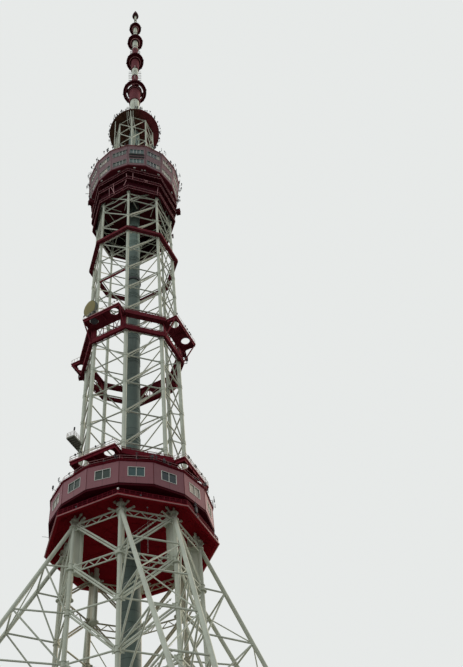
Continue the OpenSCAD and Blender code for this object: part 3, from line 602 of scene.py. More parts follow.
def gussets(form, r, zs, tube, wide=0.026, high=0.045, thick=0.0035):
    """Plates in the plane of each side, at both its columns, that the bars run into, each with four bolts."""
    for s in (-1, 1):
        c = row(s * (r * SH - tube - wide + 0.004), -r * CH, zs)
        form.blocks(c, (wide, thick, high), on=SIDES)
        bolts = np.concatenate([c + (s * dx, 0, dz) for dx in (-0.014, 0.008) for dz in (-0.028, 0.028)])
        form.tubes(bolts - (0, thick + 0.003, 0), bolts + (0, thick + 0.003, 0), 0.0045, 5, SIDES)


def foot_plates(form, r, z, plate, tube):
    """Round foot plates with four stiffeners and a ring of bolts."""
    feet = corners(r, z)
    form.lathe([(plate, 0.0), (plate, 0.012), (plate - 0.003, 0.015)], feet)
    for a in SIDES:
        form.posts(feet + turn((plate - 0.014, 0, 0), a), 0.013, 0.030, 0.005, 6)
        if a in DECK_SIDES:
            form.blocks(feet + turn((tube + 0.012, 0, 0.045), a), (0.014, 0.0025, 0.032), a)


# The trunk's columns, with a neck and a capital under the soffit
form, neck = Form(), SOFFIT_Z - 0.095
form.tubes(corners(BASE_R, FOOT), corners(BASE_R, neck + 0.01), BASE_COL, 28)
form.tubes(corners(BASE_R, neck), corners(BASE_R, SOFFIT_Z), 0.022, 16)
form.lathe([(BASE_COL - 0.001, -0.030), (0.052, -0.024), (0.060, -0.008), (0.060, 0.006), (0.048, 0.018),
            (0.021, 0.022)], corners(BASE_R, neck))
sleeves(form, BASE_R, z_at(TRUNK_LEVELS[:-1]), BASE_COL)
gussets(form, BASE_R, z_at(TRUNK_LEVELS), BASE_COL + 0.006)
foot_plates(form, BASE_R, FOOT, plate=0.085, tube=BASE_COL)
form.piece("trunk_columns", TRUNK, "white_paint", "base_columns")

# The shaft's columns, thinner from stage to stage
form = Form()
for z0, z1, r, levels in ((z_at(8) - 0.060, z_at(15), SHAFT_COL[0], range(11, 15)),
                          (z_at(15), z_at(20), SHAFT_COL[1], range(16, 20)),
                          (z_at(20), UP_TOP, SHAFT_COL[2], (21, 22))):
    form.tubes(corners(SHAFT_R, z0), corners(SHAFT_R, z1), r, 24)
    sleeves(form, SHAFT_R, z_at(levels), r, half=0.034, lip=0.005, over=0.003)
    gussets(form, SHAFT_R, z_at(levels), r + 0.003, wide=0.020, high=0.034)
    if z0 > ROOF_TOP:
        form.lathe([(r + 0.002, -0.02), (r + 0.018, -0.02), (r + 0.018, 0.010), (r, 0.020)],
                   corners(SHAFT_R, z0 - 0.01), sides=20)
form.piece("shaft_tubes", WHITE, "white_paint", "shaft_columns")

# The cage's columns, on foot plates on the upper pod's roof
form, zs = Form(), z_at(CAGE_LEVELS)
form.tubes(corners(CAGE_R, UP_ROOF), corners(CAGE_R, CANOPY_Z), CAGE_COL, 18)
sleeves(form, CAGE_R, zs, CAGE_COL, half=0.026, lip=0.004, over=0.003)
gussets(form, CAGE_R, zs, CAGE_COL + 0.004, wide=0.018, high=0.028)
foot_plates(form, CAGE_R, UP_ROOF, plate=0.050, tube=CAGE_COL)
form.piece("cage_tubes", WHITE, "white_paint", "cage_columns")


# Flat sides of the lattice
def side_bars(form, r, zs, sides, tube, girt=GIRT, brace=BRACE, pair=(0.0,)):
    """Bars of flat sides: level ones at each height, and sloping ones, or pairs of them, that run from the
    upper node at a deck side's corner down to the lower node at a leg side's corner."""
    e, y = r * SH - tube * 0.5, -r * CH
    form.tubes(row(-e, y, zs[1:]), row(e, y, zs[1:]), girt, on=sides)
    for side in sides:
        s = 1 if side in DECK_SIDES else -1
        for o in pair:
            form.tubes(row(-s * e, y, zs[1:] + o), row(s * e, y, zs[:-1] + o), brace, on=[side])


# The trunk's sides have pairs of sloping bars and, below the two highest levels, a second chord laced to the
# level bar by a zigzag; the shaft's sides have single bars
for where, nodes, finish in (("trunk", "base", TRUNK), ("shaft", "shaft", BARS)):
    for part, sides, ends in (("deck", DECK_SIDES, ("front_back", "right_left")),
                              ("leg", LEG_SIDES, ("diagonal_a", "diagonal_b"))):
        form = Form()
        if where == "shaft":
            zs = np.r_[ROOF_TOP + 0.046, z_at(SHAFT_LEVELS), UP_Z - 0.076]
            side_bars(form, SHAFT_R, zs, sides, SHAFT_COL[2])
        else:
            zs = np.r_[FOOT + 0.076, z_at(TRUNK_LEVELS)]
            side_bars(form, BASE_R, zs, sides, BASE_COL, brace=BRACE + 0.002, pair=(-PAIR, PAIR))
            e, y = BASE_R * SH - BASE_COL, -BASE_R * CH
            for z in z_at(TRUNK_LEVELS[-2:]):
                form.tubes((-e, y, z - CHORD_DROP), (e, y, z - CHORD_DROP), CHORD, on=sides)
                lace = row(np.linspace(-e + 0.05, e - 0.05, 7), y, z - CHORD_DROP * (np.arange(7) % 2))
                form.tubes(lace[:-1], lace[1:], LACE, 8, sides)
        replaced = (f"{nodes}_sides_{end}" for end in ends)
        form.piece(f"{where}_lattice_{part}_sides", finish, "white_paint", *replaced)

# A red channel across the front side of the shaft
form, half, y, z = Form(), SHAFT_R * SH - 0.034, -SHAFT_R * CH - GIRT - 0.003, 14.578
form.blocks((0, y, z), (half, 0.003, 0.026))
for h in (-0.024, 0.024):
    form.blocks((0, y + 0.010, z + h), (half, 0.012, 0.003))
form.piece("shaft_front_channel", RED)

# The cage's sides, with single bars up to the canopy
form, zs = Form(), np.r_[UP_ROOF + 0.046, z_at(CAGE_LEVELS), CANOPY_Z - 0.046]
side_bars(form, CAGE_R, zs, SIDES, CAGE_COL, 0.012, 0.012)
form.piece("cage_lattice", WHITE, "white_paint", "cage_sides")

# Legs

# Distance from the axis and half width of the trunk's sides, where the tubes end, and the level of that end
LEG_IN, LEG_HALF, LEG_TOP = BASE_R * CH, BASE_R * SH, 8.97


def leg_point(j, s):
    """Points on a leg tube's axis at level j, drawn on the front side: straight from the trunk's column at
    level 9 out to the foot at level 0; s is -1 or 1 for the left or right tube."""
    t = (9 - np.asarray(j, float)) / 9
    return row(s * (LEG_HALF + (LEG_FOOT_HALF - LEG_HALF) * t), -(LEG_IN + (LEG_REACH - LEG_IN) * t), z_at(j))


# The tubes are cut at a flanged joint below their first level
LEG_SPAN = float(np.linalg.norm(leg_point(1, 1) - leg_point(0, 1)))
CUT_J, FLANGE_J, FLANGE_R = 1 - 0.100 / PANEL, 0.009 / LEG_SPAN, LEG_TUBE + 0.018

# Each leg: two leaning tubes, and level and sloping bars back to the trunk's columns
j = np.arange(1, 9)
for side, where in zip(LEG_SIDES, ("front_right", "back_right", "back_left", "front_left")):
    form = Form()
    for s in (-1, 1):
        cut, inner = leg_point(CUT_J, s), row(s * LEG_HALF, -LEG_IN - BASE_COL * 0.6, z_at(j))
        form.tubes(cut, leg_point(LEG_TOP, s), LEG_TUBE, 24, [side])
        form.tubes(inner, leg_point(j, s), GIRT, on=[side])
        form.tubes(inner[:-1], leg_point(j[1:], s), BRACE, on=[side])
        form.tubes(cut, leg_point(CUT_J + FLANGE_J, s), FLANGE_R, 24, [side])
    form.piece("leg_tubes_" + where, WHITE, "white_paint", "leg_" + where)

# The legs' lowest lengths, their bolted flanges, foot plates with bolts and fins, and the lowest braces
form, a = Form(), 2 * math.pi * np.arange(10)[:, None] / 10
PLATE_IN, PLATE_OUT = 0.0002, LEG_FOOT_HALF + 0.060
for s in (-1, 1):
    foot, cut = leg_point(0, s), leg_point(CUT_J, s)
    form.tubes(foot, cut, LEG_TUBE, 24, LEG_SIDES)
    form.tubes(leg_point(CUT_J - FLANGE_J, s), cut, FLANGE_R, 24, LEG_SIDES)
    axis = (leg_point(1, s) - foot) / LEG_SPAN
    u, w = frames(axis)
    ring = cut + (LEG_TUBE + 0.010) * (u * np.cos(a) + w * np.sin(a))
    form.tubes(ring - 0.014 * axis, ring + 0.014 * axis, 0.0045, 6, LEG_SIDES)
    plate = row(s * (PLATE_IN + PLATE_OUT) / 2, -LEG_REACH - 0.010, FOOT + 0.013)
    form.blocks(plate, ((PLATE_OUT - PLATE_IN) / 2, 0.070, 0.013), on=LEG_SIDES)
    bolts = plate + [(x, y, 0.013) for x in (-0.045, 0.045) for y in (-0.055, 0.055)]
    form.posts(bolts, 0, 0.020, 0.006, 6, LEG_SIDES)
    for y in (-0.046, 0.040):
        form.blocks(foot + (0, y, 0.045), (0.003, 0.018, 0.030), on=LEG_SIDES)
    low = row(s * LEG_HALF, -LEG_IN - BASE_COL, FOOT + 0.076)
    form.tubes(low, leg_point(1 - 0.056 / PANEL, s), BRACE, on=LEG_SIDES)
    form.blocks(low - (0, 0.035, 0), (0.005, 0.035, 0.045), on=LEG_SIDES)
form.piece("leg_foot_tubes", WHITE, "white_paint", "leg_feet")

# Level ties between the two tubes of each leg, and a zigzag bar from each down to the next
form = Form()
form.tubes(leg_point(j, -1), leg_point(j, 1), GIRT, on=LEG_SIDES)
for level in j[1:]:
    s = 1 if level % 2 == 0 else -1
    form.tubes(leg_point(level, s), leg_point(level - 1, -s), 0.010, 10, LEG_SIDES)
form.piece("leg_tie_bars", WHITE, "white_paint", "leg_ties")

# Inside the trunk and the shaft

# A stair behind the side at 45 degrees, in one flight between two levels: open treads from the side's left
# corner up to its right one between two thin strings, and a handrail
form, rails, STEPS, ON_STAIR = Form(), Form(), 18, [45]
i = np.arange(STEPS)
for r, zs, wide in ((BASE_R, np.r_[FOOT, z_at(np.arange(1, 9) + 0.2), SOFFIT_Z - 0.035], 0.018),
                    (SHAFT_R, np.r_[ROOF_TOP, z_at(SHAFT_LEVELS), UP_Z - 0.060], 0.013)):
    for z0, z1 in zip(zs[:-1] + 0.02, zs[1:] - 0.02):
        a, y0 = r * SH - 0.085, -r * CH + 0.050
        run, rise = 2 * a / STEPS, (z1 - z0) / STEPS
        tread = row(-a + (i + 0.5) * run, y0, z0 + (i + 0.5) * rise)
        form.blocks(tread, (run * 0.34, wide, 0.0050), on=ON_STAIR)
        for y in (y0 - wide, y0 + wide):
            form.straps((-a, y, z0), (a, y, z1), 0.003, 0.007, ON_STAIR)
        rails.tubes((-a, y, z0 + 0.095), (a, y, z1 + 0.095), 0.0016, 6, ON_STAIR)
        rails.posts(row(-a + i[::5] * run, y, z0 + i[::5] * rise), 0, 0.095, 0.0014, 5, ON_STAIR)
form.piece("stair_flights", WHITE, "white_paint")
rails.piece("stair_handrails", RAIL, "rail_paint")

# Conduits and their clips, thin hoops at each level and the dark collars on the lift pipe
form, hoops, dark = Form(), Form(), Form()
for a in (-150, -143, 60):
    foot = turn((PIPE_R + 0.012, 0, 0), a)
    form.posts(foot, FOOT, CANOPY_Z - 0.02, 0.006, 8)
    form.blocks(foot + row(0, 0, np.linspace(0.4, 24.1, 58)), (0.010, 0.010, 0.005), a)
form.piece("pipe_conduits", STEEL, "slate_paint")
for h in (0.045, 0.125):
    hoops.hoops(PIPE_R + 0.001, PIPE_R + 0.008, h - 0.005, h + 0.005, row(0, 0, z_at(SHAFT_LEVELS)), 40)
hoops.piece("pipe_hoops", SLATE, "slate_paint")
dark.hoops(PIPE_R + 0.001, 0.195, -0.035, 0.035, (0, 0, 15.48))
dark.hoops(PIPE_R + 0.001, 0.185, -0.018, 0.018, row(0, 0, (9.12, 18.0)))
dark.piece("pipe_rings", DARK_STEEL, "slate_paint")

# Column heads and the lower pod

# On every head two flanged arms along the sides and a stub outward, by the places of their tips out from the
# axis, across and up; the rounded caps of the webs, flanged ends on the struts, and bolts
ARM_TIPS, ARM_ROOT_Z = ((1.080, -0.205, 7.500), (1.080, 0.205, 7.500), (1.215, 0.0, 7.480)), 7.385
CAP_R, CAP_HEIGHTS = 0.072, ((7.360, 7.384), (6.546, 6.562))
form, collar = Form(), z_at(TRUNK_LEVELS[-1]) + 0.084
cap = np.array([(x + CAP_R * math.cos(t), CAP_R * math.sin(t), 0)
                for x, start in ((BASE_R, -90), (SHAFT_R, 90))
                for t in np.radians(start + np.linspace(0, 180, 13))])
for out, across, z in ARM_TIPS:
    tip = turned(turn((out, across, 0), CORNER_A)) + (0, 0, z)
    root = corners(BASE_R, ARM_ROOT_Z) + (tip - corners(BASE_R, z)) * 0.25
    form.tubes(root, tip, 0.0155)
    form.tubes(tip + (root - tip) * 0.12, tip, 0.0225)
for side in SIDES:
    head, a = corner(BASE_R, side, 0), side + CORNER_A
    for z0, z1 in CAP_HEIGHTS:
        form.slab(turn(cap, a), z0, z1)
    for s in (-1, 1):
        along = turn((1, 0, 0), a + ALONG * s)
        p, q = head + (0, 0, collar + 0.009) + along * 0.060, head + (0, 0, SOFFIT_Z - 0.006) + along * 0.122
        form.tubes(p + (q - p) * 0.80, q, 0.0235, 14)
        form.tubes(p + (q - p) * 0.05, p + (q - p) * 0.16, 0.0215, 14)
    for b in SIDES:
        form.posts(head + turn((0.057, 0, 0), b + a) + (0, 0, collar), -0.008, 0.028, 0.0050, 6)
        bolt = turn((BASE_R if b < 180 else SHAFT_R, 0, 0), a) + turn((0.055, 0, 7.370), a + b - 90)
        form.posts(bolt, -0.018, 0.022, 0.0045, 6)
form.piece("column_head_fittings", WHITE, "white_paint")

# Battens under the soffit, radial ones and two rings of straight ones, and battens on the sloping gallery
form, z = Form(), SOFFIT_Z - 0.003
for a in np.arange(16) * 22.5:
    form.straps(at(0.20, a, z), at(1.17, a, z), 0.014, 0.006)
for r in (0.52, 0.84):
    ring = circle(r, 16, z)
    form.straps(ring, np.roll(ring, -1, 0), 0.012, 0.005)
for x in (-0.7, 0.0, 0.7):
    form.straps((x * RIM_R * SH, -(RIM_R - 0.03) * CH, RIM_Z - 0.003), (x * SOFFIT_R * SH, -SOFFIT_R * CH, z),
                0.012, 0.005, SIDES)
form.piece("soffit_battens", SOFFIT_RED)


def rail_run(form, length, y, z, bays, levels, post, rail, sides=SIDES, step=0.0, height=RAIL_H):
    """Straight railings on sides: posts at even steps, rails at shares of the height, and fine bars."""
    x = length / 2
    form.posts(row(np.linspace(-x, x, bays + 1), y, z), 0, height, post, 8, sides)
    for share in levels:
        form.tubes((-x, y, z + height * share), (x, y, z + height * share), rail, 8, sides)
    if step:
        foot = row(np.linspace(-x, x, int(length / step) + 1)[1:-1], y, z + 0.004)
        form.posts(foot, 0, height * levels[-1] - 0.004, 0.0024, 4, sides)


bars, rim, r = Form(), Form(), RIM_R - 0.012
rail_run(bars, 2 * r * SH - 0.012, -r * CH, RIM_Z + 0.030, bays=12, levels=(0.05, 0.5, 1.0), post=0.006,
         rail=0.006, step=0.017, height=0.098)
bars.piece("gallery_mesh_railing", RED, "red_paint", "gallery_railing")
rim.rail(corners(RIM_R + 0.001, RIM_Z + 0.006), 0.0105, 8, True)
rim.piece("gallery_rim_rail", PINK)


def wall_point(wall, x, z, out=0.0):
    """Points on a leaning facet that faces -Y, at x and z: the wall's radius goes evenly from r0 at z0 to r1
    at z1, and the facet stands at that radius times the cosine of half a facet, plus out."""
    r0, r1, z0, z1 = wall
    return row(x, -(r0 + (r1 - r0) * (z - z0) / (z1 - z0)) * math.cos(FACET) - out, z)


def pod_wall(name, wall, windows, frame_finish, flash_finish, wide, high, panes, border=0.006, bar=0.0035):
    """Cover strips on the joints between facets, flashings along the wall's foot and head, a frame in each
    opening, which starts at a height in windows, and upright bars between its panes."""
    trims, under, flash, form, bars = (Form() for part in range(5))
    r0, r1, z0, z1 = wall
    trims.tubes(facet_ring(r0, z0 + 0.004), facet_ring(r1, z1 - 0.004), 0.0035, 6)
    trims.piece(name + "_wall_trims", RED, "wall_panels")
    under.rail(facet_ring(r0 + 0.002, z0 + 0.004), 0.005, 6, True)
    under.piece(name + "_wall_foot", DARK_RED)
    flash.rail(facet_ring(r1 + 0.002, z1 - 0.006), 0.006, 6, True)
    flash.rail(facet_ring(r1 + 0.016, z1 + 0.015), 0.008, 6, True)
    flash.piece(name + "_wall_flashings", flash_finish)
    w = wide / 2 - border / 2
    for low in windows:
        between = np.linspace(-w, w, panes + 1)[1:-1]
        for into, xs, across in ((form, (-w, w), border), (bars, between, bar * 2)):
            for x in xs:
                into.straps(wall_point(wall, x, low), wall_point(wall, x, low + high), across, 0.012, FACETS)
        for z in (low + border / 2, low + high - border / 2):
            form.straps(wall_point(wall, -w, z), wall_point(wall, w, z), 0.012, border, FACETS)
    form.piece(name + "_window_frames", frame_finish, "rail_paint")
    bars.piece(name + "_window_bars", FRAME, "rail_paint")


UPPER = (UP_R0, UP_R1, UP_Z, UP_TOP)
pod_wall("lower", (POD_R, POD_R, POD_Z, POD_TOP), (POD_Z + 0.151,), FRAME, RED, wide=0.274, high=0.202,
         panes=2, border=0.008, bar=0.004)
pod_wall("upper", UPPER, (UP_Z + 0.109, UP_Z + 0.599), SLATE, PINK, wide=0.392, high=0.207, panes=4)

# The two dark louvre strips between the window rows, on one facet
louvre, dark, a = Form(), Form(), 33.75
for z0, z1 in ((UP_Z + 0.375, UP_Z + 0.440), (UP_Z + 0.500, UP_Z + 0.565)):
    dark.blocks(turn(wall_point(UPPER, 0, (z0 + z1) / 2, 0.002), a), (0.215, 0.007, (z1 - z0) / 2), a)
    p = wall_point(UPPER, -0.212, np.linspace(z0 + 0.006, z1 - 0.006, 5), 0.010)
    louvre.straps(p, p * (-1, 1, 1), 0.010, 0.0022, [a])
dark.piece("louvre_back", DARK_STEEL, "wall_panels")
louvre.piece("louvre_slats", DARK_COVER)


def clutter(form, rng, r, z, count, low, high, out, boxed=0.45):
    """Small aerials round an edge: short poles on arms, some with a box and some with two cross bars."""
    draws = (rng.uniform(0, 360, count), rng.uniform(low, high, count), rng.uniform(-0.2, 1.0, count) * out,
             rng.uniform(size=count))
    for angle, up, far, b in zip(*draws):
        foot = at(r + far, angle, z)
        form.posts(foot, 0, up, 0.0052, 6)
        form.tubes(at(r - 0.03, angle, z + up * 0.3), foot + (0, 0, up * 0.3), 0.0036, 6)
        if b < boxed:
            form.blocks(foot + (0, 0, up * 0.75), (0.012, 0.015, 0.028), angle)
        elif b < 0.75:
            side = turn((0, 0.028, 0), angle)
            for share in (0.6, 0.9):
                form.tubes(foot - side + (0, 0, up * share), foot + side + (0, 0, up * share), 0.0044, 5)


def roof_rail(name, finish, r, z, rail, post, top):
    """A light rail round a roof, on posts at the corners and between them."""
    form, ring = Form(), facet_ring(r, 0)
    for h in (0.05, 0.10):
        form.rail(ring + (0, 0, z + h), rail, 6, True)
    form.posts(np.concatenate([ring, (ring + np.roll(ring, 1, 0)) / 2]), z, z + top, post, 6)
    form.piece(name, finish)


# The light rail, lamps and small aerials along the lower pod's roof edge, and the ball lamp at a corner
roof_rail("roof_edge_rail", DULL_PINK, POD_R - 0.01, ROOF_TOP, rail=0.0034, post=0.0032, top=0.101)
lamps, lens, ball = Form(), Form(), corner(RIM_R - 0.012, 45, RIM_Z + 0.118)
lamps.blocks((0.02, -POD_R * math.cos(FACET) - 0.006, ROOF_TOP + 0.022), (0.012, 0.012, 0.010), on=FACETS)
clutter(lamps, np.random.default_rng(5), POD_R + 0.005, ROOF_TOP, count=34, low=0.05, high=0.12, out=0.05,
        boxed=0.06)
lamps.piece("roof_edge_fittings", DARK_STEEL, "slate_paint")
lens.sphere(ball, 0.019)
lens.posts(ball, -0.025, -0.014, 0.006, 8)
lens.piece("lamp_lenses", LENS, "rail_paint")

# The small dark aerial on the gallery's railing, the thin whip that stands out at the left, and small boxes
form, a = Form(), -11.6
pole = at(1.402, a, RIM_Z - 0.03)
form.posts(pole, 0, 0.30, 0.007, 8)
for h, w in ((0.285, 0.035), (0.235, 0.045), (0.06, 0.04)):
    side = turn((0, w, 0), a)
    form.tubes(pole + side + (0, 0, h), pole - side + (0, 0, h), 0.005, 6)
form.blocks(pole + (0, 0, 0.15), (0.016, 0.026, 0.045), a)
form.tubes(at(1.360, -141, RIM_Z + 0.11), at(1.500, -141, RIM_Z + 0.11), 0.0035, 6)
form.blocks((-0.20, -(RIM_R - 0.004) * CH, RIM_Z + 0.05), (0.012, 0.010, 0.018), on=SIDES)
form.piece("gallery_fittings", DARK_STEEL, "slate_paint")

# A thin rod that hangs under the soffit, and the arm that ties its foot to the trunk's side
form, head, foot = Form(), at(0.976, -43.8, SOFFIT_Z), at(0.976, -43.8, 6.72)
form.tubes(head, foot, 0.0036, 6)
form.tubes(foot + (0, 0, 0.004), at(BASE_R * CH, -45, 6.72) + (0, 0, 0.004), 0.0036, 6)
form.lathe([(0.012, -0.012), (0.012, -0.001), (0.003, -0.0005)], head, sides=12)
form.piece("soffit_rod", STEEL, "white_paint")

# Decks

# Pale railings on the platforms, fuller on the crown deck, and strips along their edges
pale, dark, edge = Form(), Form(), Form()
for r, z, post, rail, shares, heights in (
        (CROWN_R, CROWN_Z + DECK_T, 0.0042, 0.0052, (0.05, 0.5, 1.0), (0.005, 0.054, RAIL_H)),
        (HIGH_R, HIGH_Z + DECK_T, 0.0030, 0.0036, (1.0,), (RAIL_H,))):
    w = r * SH
    rail_run(pale, 2 * w - 0.012, -DECK_OUT + 0.002, z, bays=8, levels=shares, post=post, rail=rail,
             sides=DECK_SIDES)
    for s in (-1, 1):
        foot = row(s * (w - 0.006), np.linspace(-DECK_OUT + 0.004, -r * CH - 0.006, 4), z)
        pale.posts(foot[1:], 0, RAIL_H, 0.0045, 8, DECK_SIDES)
        for h in heights:
            pale.tubes(foot[0] + (0, 0, h), foot[-1] + (0, 0, h), 0.0040, 8, DECK_SIDES)
    strip = row(w - 0.002, -DECK_OUT - 0.003, z - 0.004)
    edge.straps(strip * (-1, 1, 1), strip, 0.006, 0.020, DECK_SIDES)
# Dark meshed railings with a toe board on the walkways, and a low board alone on the highest
for r, z, sides in WALKWAYS:
    high = 0.032 if z == TOP_RING_Z else 0.064
    if z != TOP_RING_Z:
        inset = r - 0.008
        rail_run(dark, 2 * inset * SH - 0.012, -inset * CH, z + DECK_T, bays=6, levels=(0.08, 0.54, 1.0),
                 post=0.005, rail=0.0045, sides=sides, step=0.013)
    board = row(r * SH - 0.004, -(r + 0.006) * CH, z + DECK_T + high / 2 - 0.008)
    dark.straps(board * (-1, 1, 1), board, 0.008, high, sides)
# The railing of the small platform that stands out from the shaft
x0, x1, y0, inner = -0.927, -0.758, -0.851, -(SHAFT_R * CH + 0.055) * math.sqrt(2)
line = row((x0, x0, x1, x1), (inner - x0, y0, y0, inner - x1), SIDE_DECK_TOP)
for h in (0.036, 0.072, RAIL_H):
    pale.rail(line + (0, 0, h), 0.0036, 8)
posts = [np.linspace(line[i], line[i + 1], n, endpoint=False) for i, n in ((0, 4), (1, 2), (2, 3))]
pale.posts(np.concatenate([*posts, line[3:]]), 0, RAIL_H + 0.001, 0.0042, 8)
pale.piece("platform_rails", RAIL, "rail_paint", "platform_railings")
edge.piece("platform_edge_strips", PINK)
dark.piece("walkway_rails", RED, "red_paint", "walkway_railings")

# Round rims in the platforms' holes, and brackets under the walkways
form = Form()
for r, z in PLATFORMS:
    for s in (-1, 1):
        hole = turned((s * r * SH * HOLE_SHARE, HOLE_Y, z), DECK_SIDES)
        form.hoops(HOLE_R - 0.0065, HOLE_R + 0.004, -0.004, DECK_T + 0.004, hole, 32)
for r, z, sides in WALKWAYS:
    for x in np.linspace(-0.8, 0.8, 5):
        at_shaft = (x * SHAFT_R * SH, -SHAFT_R * CH - 0.016, z - 0.012)
        at_edge = (x * r * SH, -r * CH + 0.004, z - 0.012)
        form.straps(at_shaft, at_edge, 0.008, 0.024, sides)
form.piece("deck_joists", RED)

# Plates and crossed bars that close the ends of the middle decks' outer sides
form, z0, z1, w, y = Form(), LOW_Z + DECK_T, HIGH_Z, LOW_R * SH, -LOW_R * CH + 0.030
for s in (-1, 1):
    form.blocks((s * (w - 0.075), y, (z0 + z1) / 2), (0.060, 0.004, (z1 - z0) / 2 + 0.004), on=DECK_SIDES)
    for x, a, b, thick in ((0.135, z0, z1, 0.008), (0.135, z1, z0, 0.008), (0.30, z0, z1, 0.009)):
        form.tubes((s * (w - x), y, a), (s * (w - 0.30), y, b), thick, 8, DECK_SIDES)
form.piece("mid_side_plates", RED)

# The basket below the low ring's corner at 315 degrees
dark, red, lens = Form(), Form(), Form()
base, a = corner(LOW_R + 0.010, 315, LOW_Z - 0.165), 202.5
box = base + turn([(-0.041, -0.036, 0), (0.041, -0.036, 0), (0.041, 0.036, 0), (-0.041, 0.036, 0)], a)
red.blocks(base - (0, 0, 0.03), (0.045, 0.040, 0.004), a)
red.posts(box, -0.03, 0.168, 0.006, 6)
red.blocks(base - (0, 0, 0.008), (0.028, 0.026, 0.018), a)
for h in (0.0, 0.035, 0.07):
    red.rail(box + (0, 0, h), 0.0050, 6, True)
# Boxes round the low ring's corner at 135 degrees, on arms from the ring
for r, a, z, half in ((1.150, 17.0, 12.36, (0.032, 0.036, 0.045)),
                      (1.175, 24.0, 12.40, (0.028, 0.030, 0.050)),
                      (1.150, 10.0, 12.25, (0.020, 0.028, 0.022))):
    spot, arm = at(r, a, z), at(r, a, LOW_Z + 0.01)
    red.blocks(spot, half, a)
    dark.tubes(at(LOW_R - 0.06, a, LOW_Z + 0.01), arm, 0.007, 8)
    dark.tubes(arm, spot, 0.007, 8)
# A covered fan in the front platform's left hole
fan = row(-HIGH_R * SH * HOLE_SHARE, HOLE_Y, HIGH_Z + 0.008)
dark.lathe([(0.030, 0.0), (0.080, 0.0), (0.084, 0.008), (0.080, 0.016), (0.030, 0.016)], fan, sides=32)
for a in (0, 60, 120):
    out = turn((0.094, 0, 0), a)
    dark.straps(fan - out + (0, 0, 0.010), fan + out + (0, 0, 0.010), 0.012, 0.008)
# Lamps on the crown deck's railings, the small aerial at the side platform, and small boxes on all railings
for side, x in ((0, -0.30), (90, 0.35), (90, -0.2), (0, 0.40)):
    spot = turn((x, -DECK_OUT + 0.006, CROWN_Z + DECK_T + RAIL_H + 0.014), side)
    dark.posts(spot, -0.016, 0, 0.006, 8)
    lens.sphere(spot + (0, 0, 0.012), 0.014)
mast = row(-0.770, -0.842, SIDE_DECK_TOP)
dark.posts(mast, 0, 0.20, 0.006, 8)
dark.blocks(mast + (0, 0, 0.17), (0.020, 0.014, 0.028), -45)
rng = np.random.default_rng(3)
for r, z in PLATFORMS:
    for side in DECK_SIDES:
        spots = row(rng.uniform(-0.42, 0.42, 5), -DECK_OUT + 0.002, z + DECK_T + 0.11)
        dark.blocks(spots, (0.010, 0.012, 0.016), on=[side])
dark.piece("deck_equipment", DARK_STEEL)
red.piece("deck_boxes", DARK_RED)
lens.piece("deck_lamps", LENS, "rail_paint")

# The drum aerial: a shallow turned drum with a domed cover, a dark shell, and its post and struts
cover, shell, yaw, dip = Form(), Form(), math.radians(-17), math.radians(13)
side = np.array([math.cos(yaw), math.sin(yaw), 0.0])
axis = np.array([math.sin(yaw) * math.cos(dip), -math.cos(yaw) * math.cos(dip), -math.sin(dip)])
foot = np.array([-0.285, -1.298, HIGH_Z + DECK_T])
centre = foot + (0, 0.023, 0.325)
cover.lathe([(0.020, 0.036), (0.186, 0.036), (0.186, 0.040), (0.180, 0.045), (0.150, 0.050), (0.100, 0.053),
             (0.050, 0.0545), (0.0015, 0.055)], centre, axis, 56)
shell.lathe([(0.120, -0.055), (0.165, -0.050), (0.184, -0.040), (0.189, -0.020), (0.189, 0.028),
             (0.190, 0.030), (0.190, 0.041), (0.187, 0.042), (0.180, 0.038)], centre, axis, 56)
shell.lathe([(0.020, -0.062), (0.045, -0.062), (0.045, -0.050), (0.020, -0.050)], centre, axis, 20)
shell.posts(foot, 0, 0.145, 0.017, 16)
shell.lathe([(0.040, 0.0), (0.040, 0.006), (0.022, 0.010)], foot, sides=16)
for s in (-1, 1):
    shell.tubes(foot + (0, 0, 0.06), foot + side * 0.075 * s + (0, 0.012, 0.165), 0.007, 8)
shell.piece("drum_shell", DARK_COVER, "aerial_cover", "drum_aerial")
cover.piece("drum_cover", COVER, "aerial_cover")

# The upper pod

# Rails and posts on the skirt's rings, the fans of struts on the columns' heads, boxes and lamps
rails, boxes, lens, fans, struts, cabinets = (Form() for part in range(6))
SKIRT_RAIL_H, BOXES, LAMP_Z, LAMP_TOP = 0.112, 40, 19.385, 19.425
for z, r in SKIRT_RINGS:
    for h, bar in ((0.004, 0.0050), (SKIRT_RAIL_H + DECK_T, 0.0048)):
        rails.rail(corners(r - 0.004, z) + (0, 0, h), bar, 8, True)
    x = np.linspace(-(r - 0.006) * SH, (r - 0.006) * SH, 7)[:-1]
    foot = row(x, -(r - 0.006) * CH, z + DECK_T)
    boxes.posts(foot, 0, SKIRT_RAIL_H, 0.0036, 8, SIDES)
    boxes.straps(row(x * 0.92, -(SKIRT_R + 0.004) * CH, z - 0.05),
                 foot * (0.97, 0.97, 1) - (0, 0, 0.028 + DECK_T), 0.006, 0.010, SIDES)
rails.piece("skirt_rails", DULL_PINK)
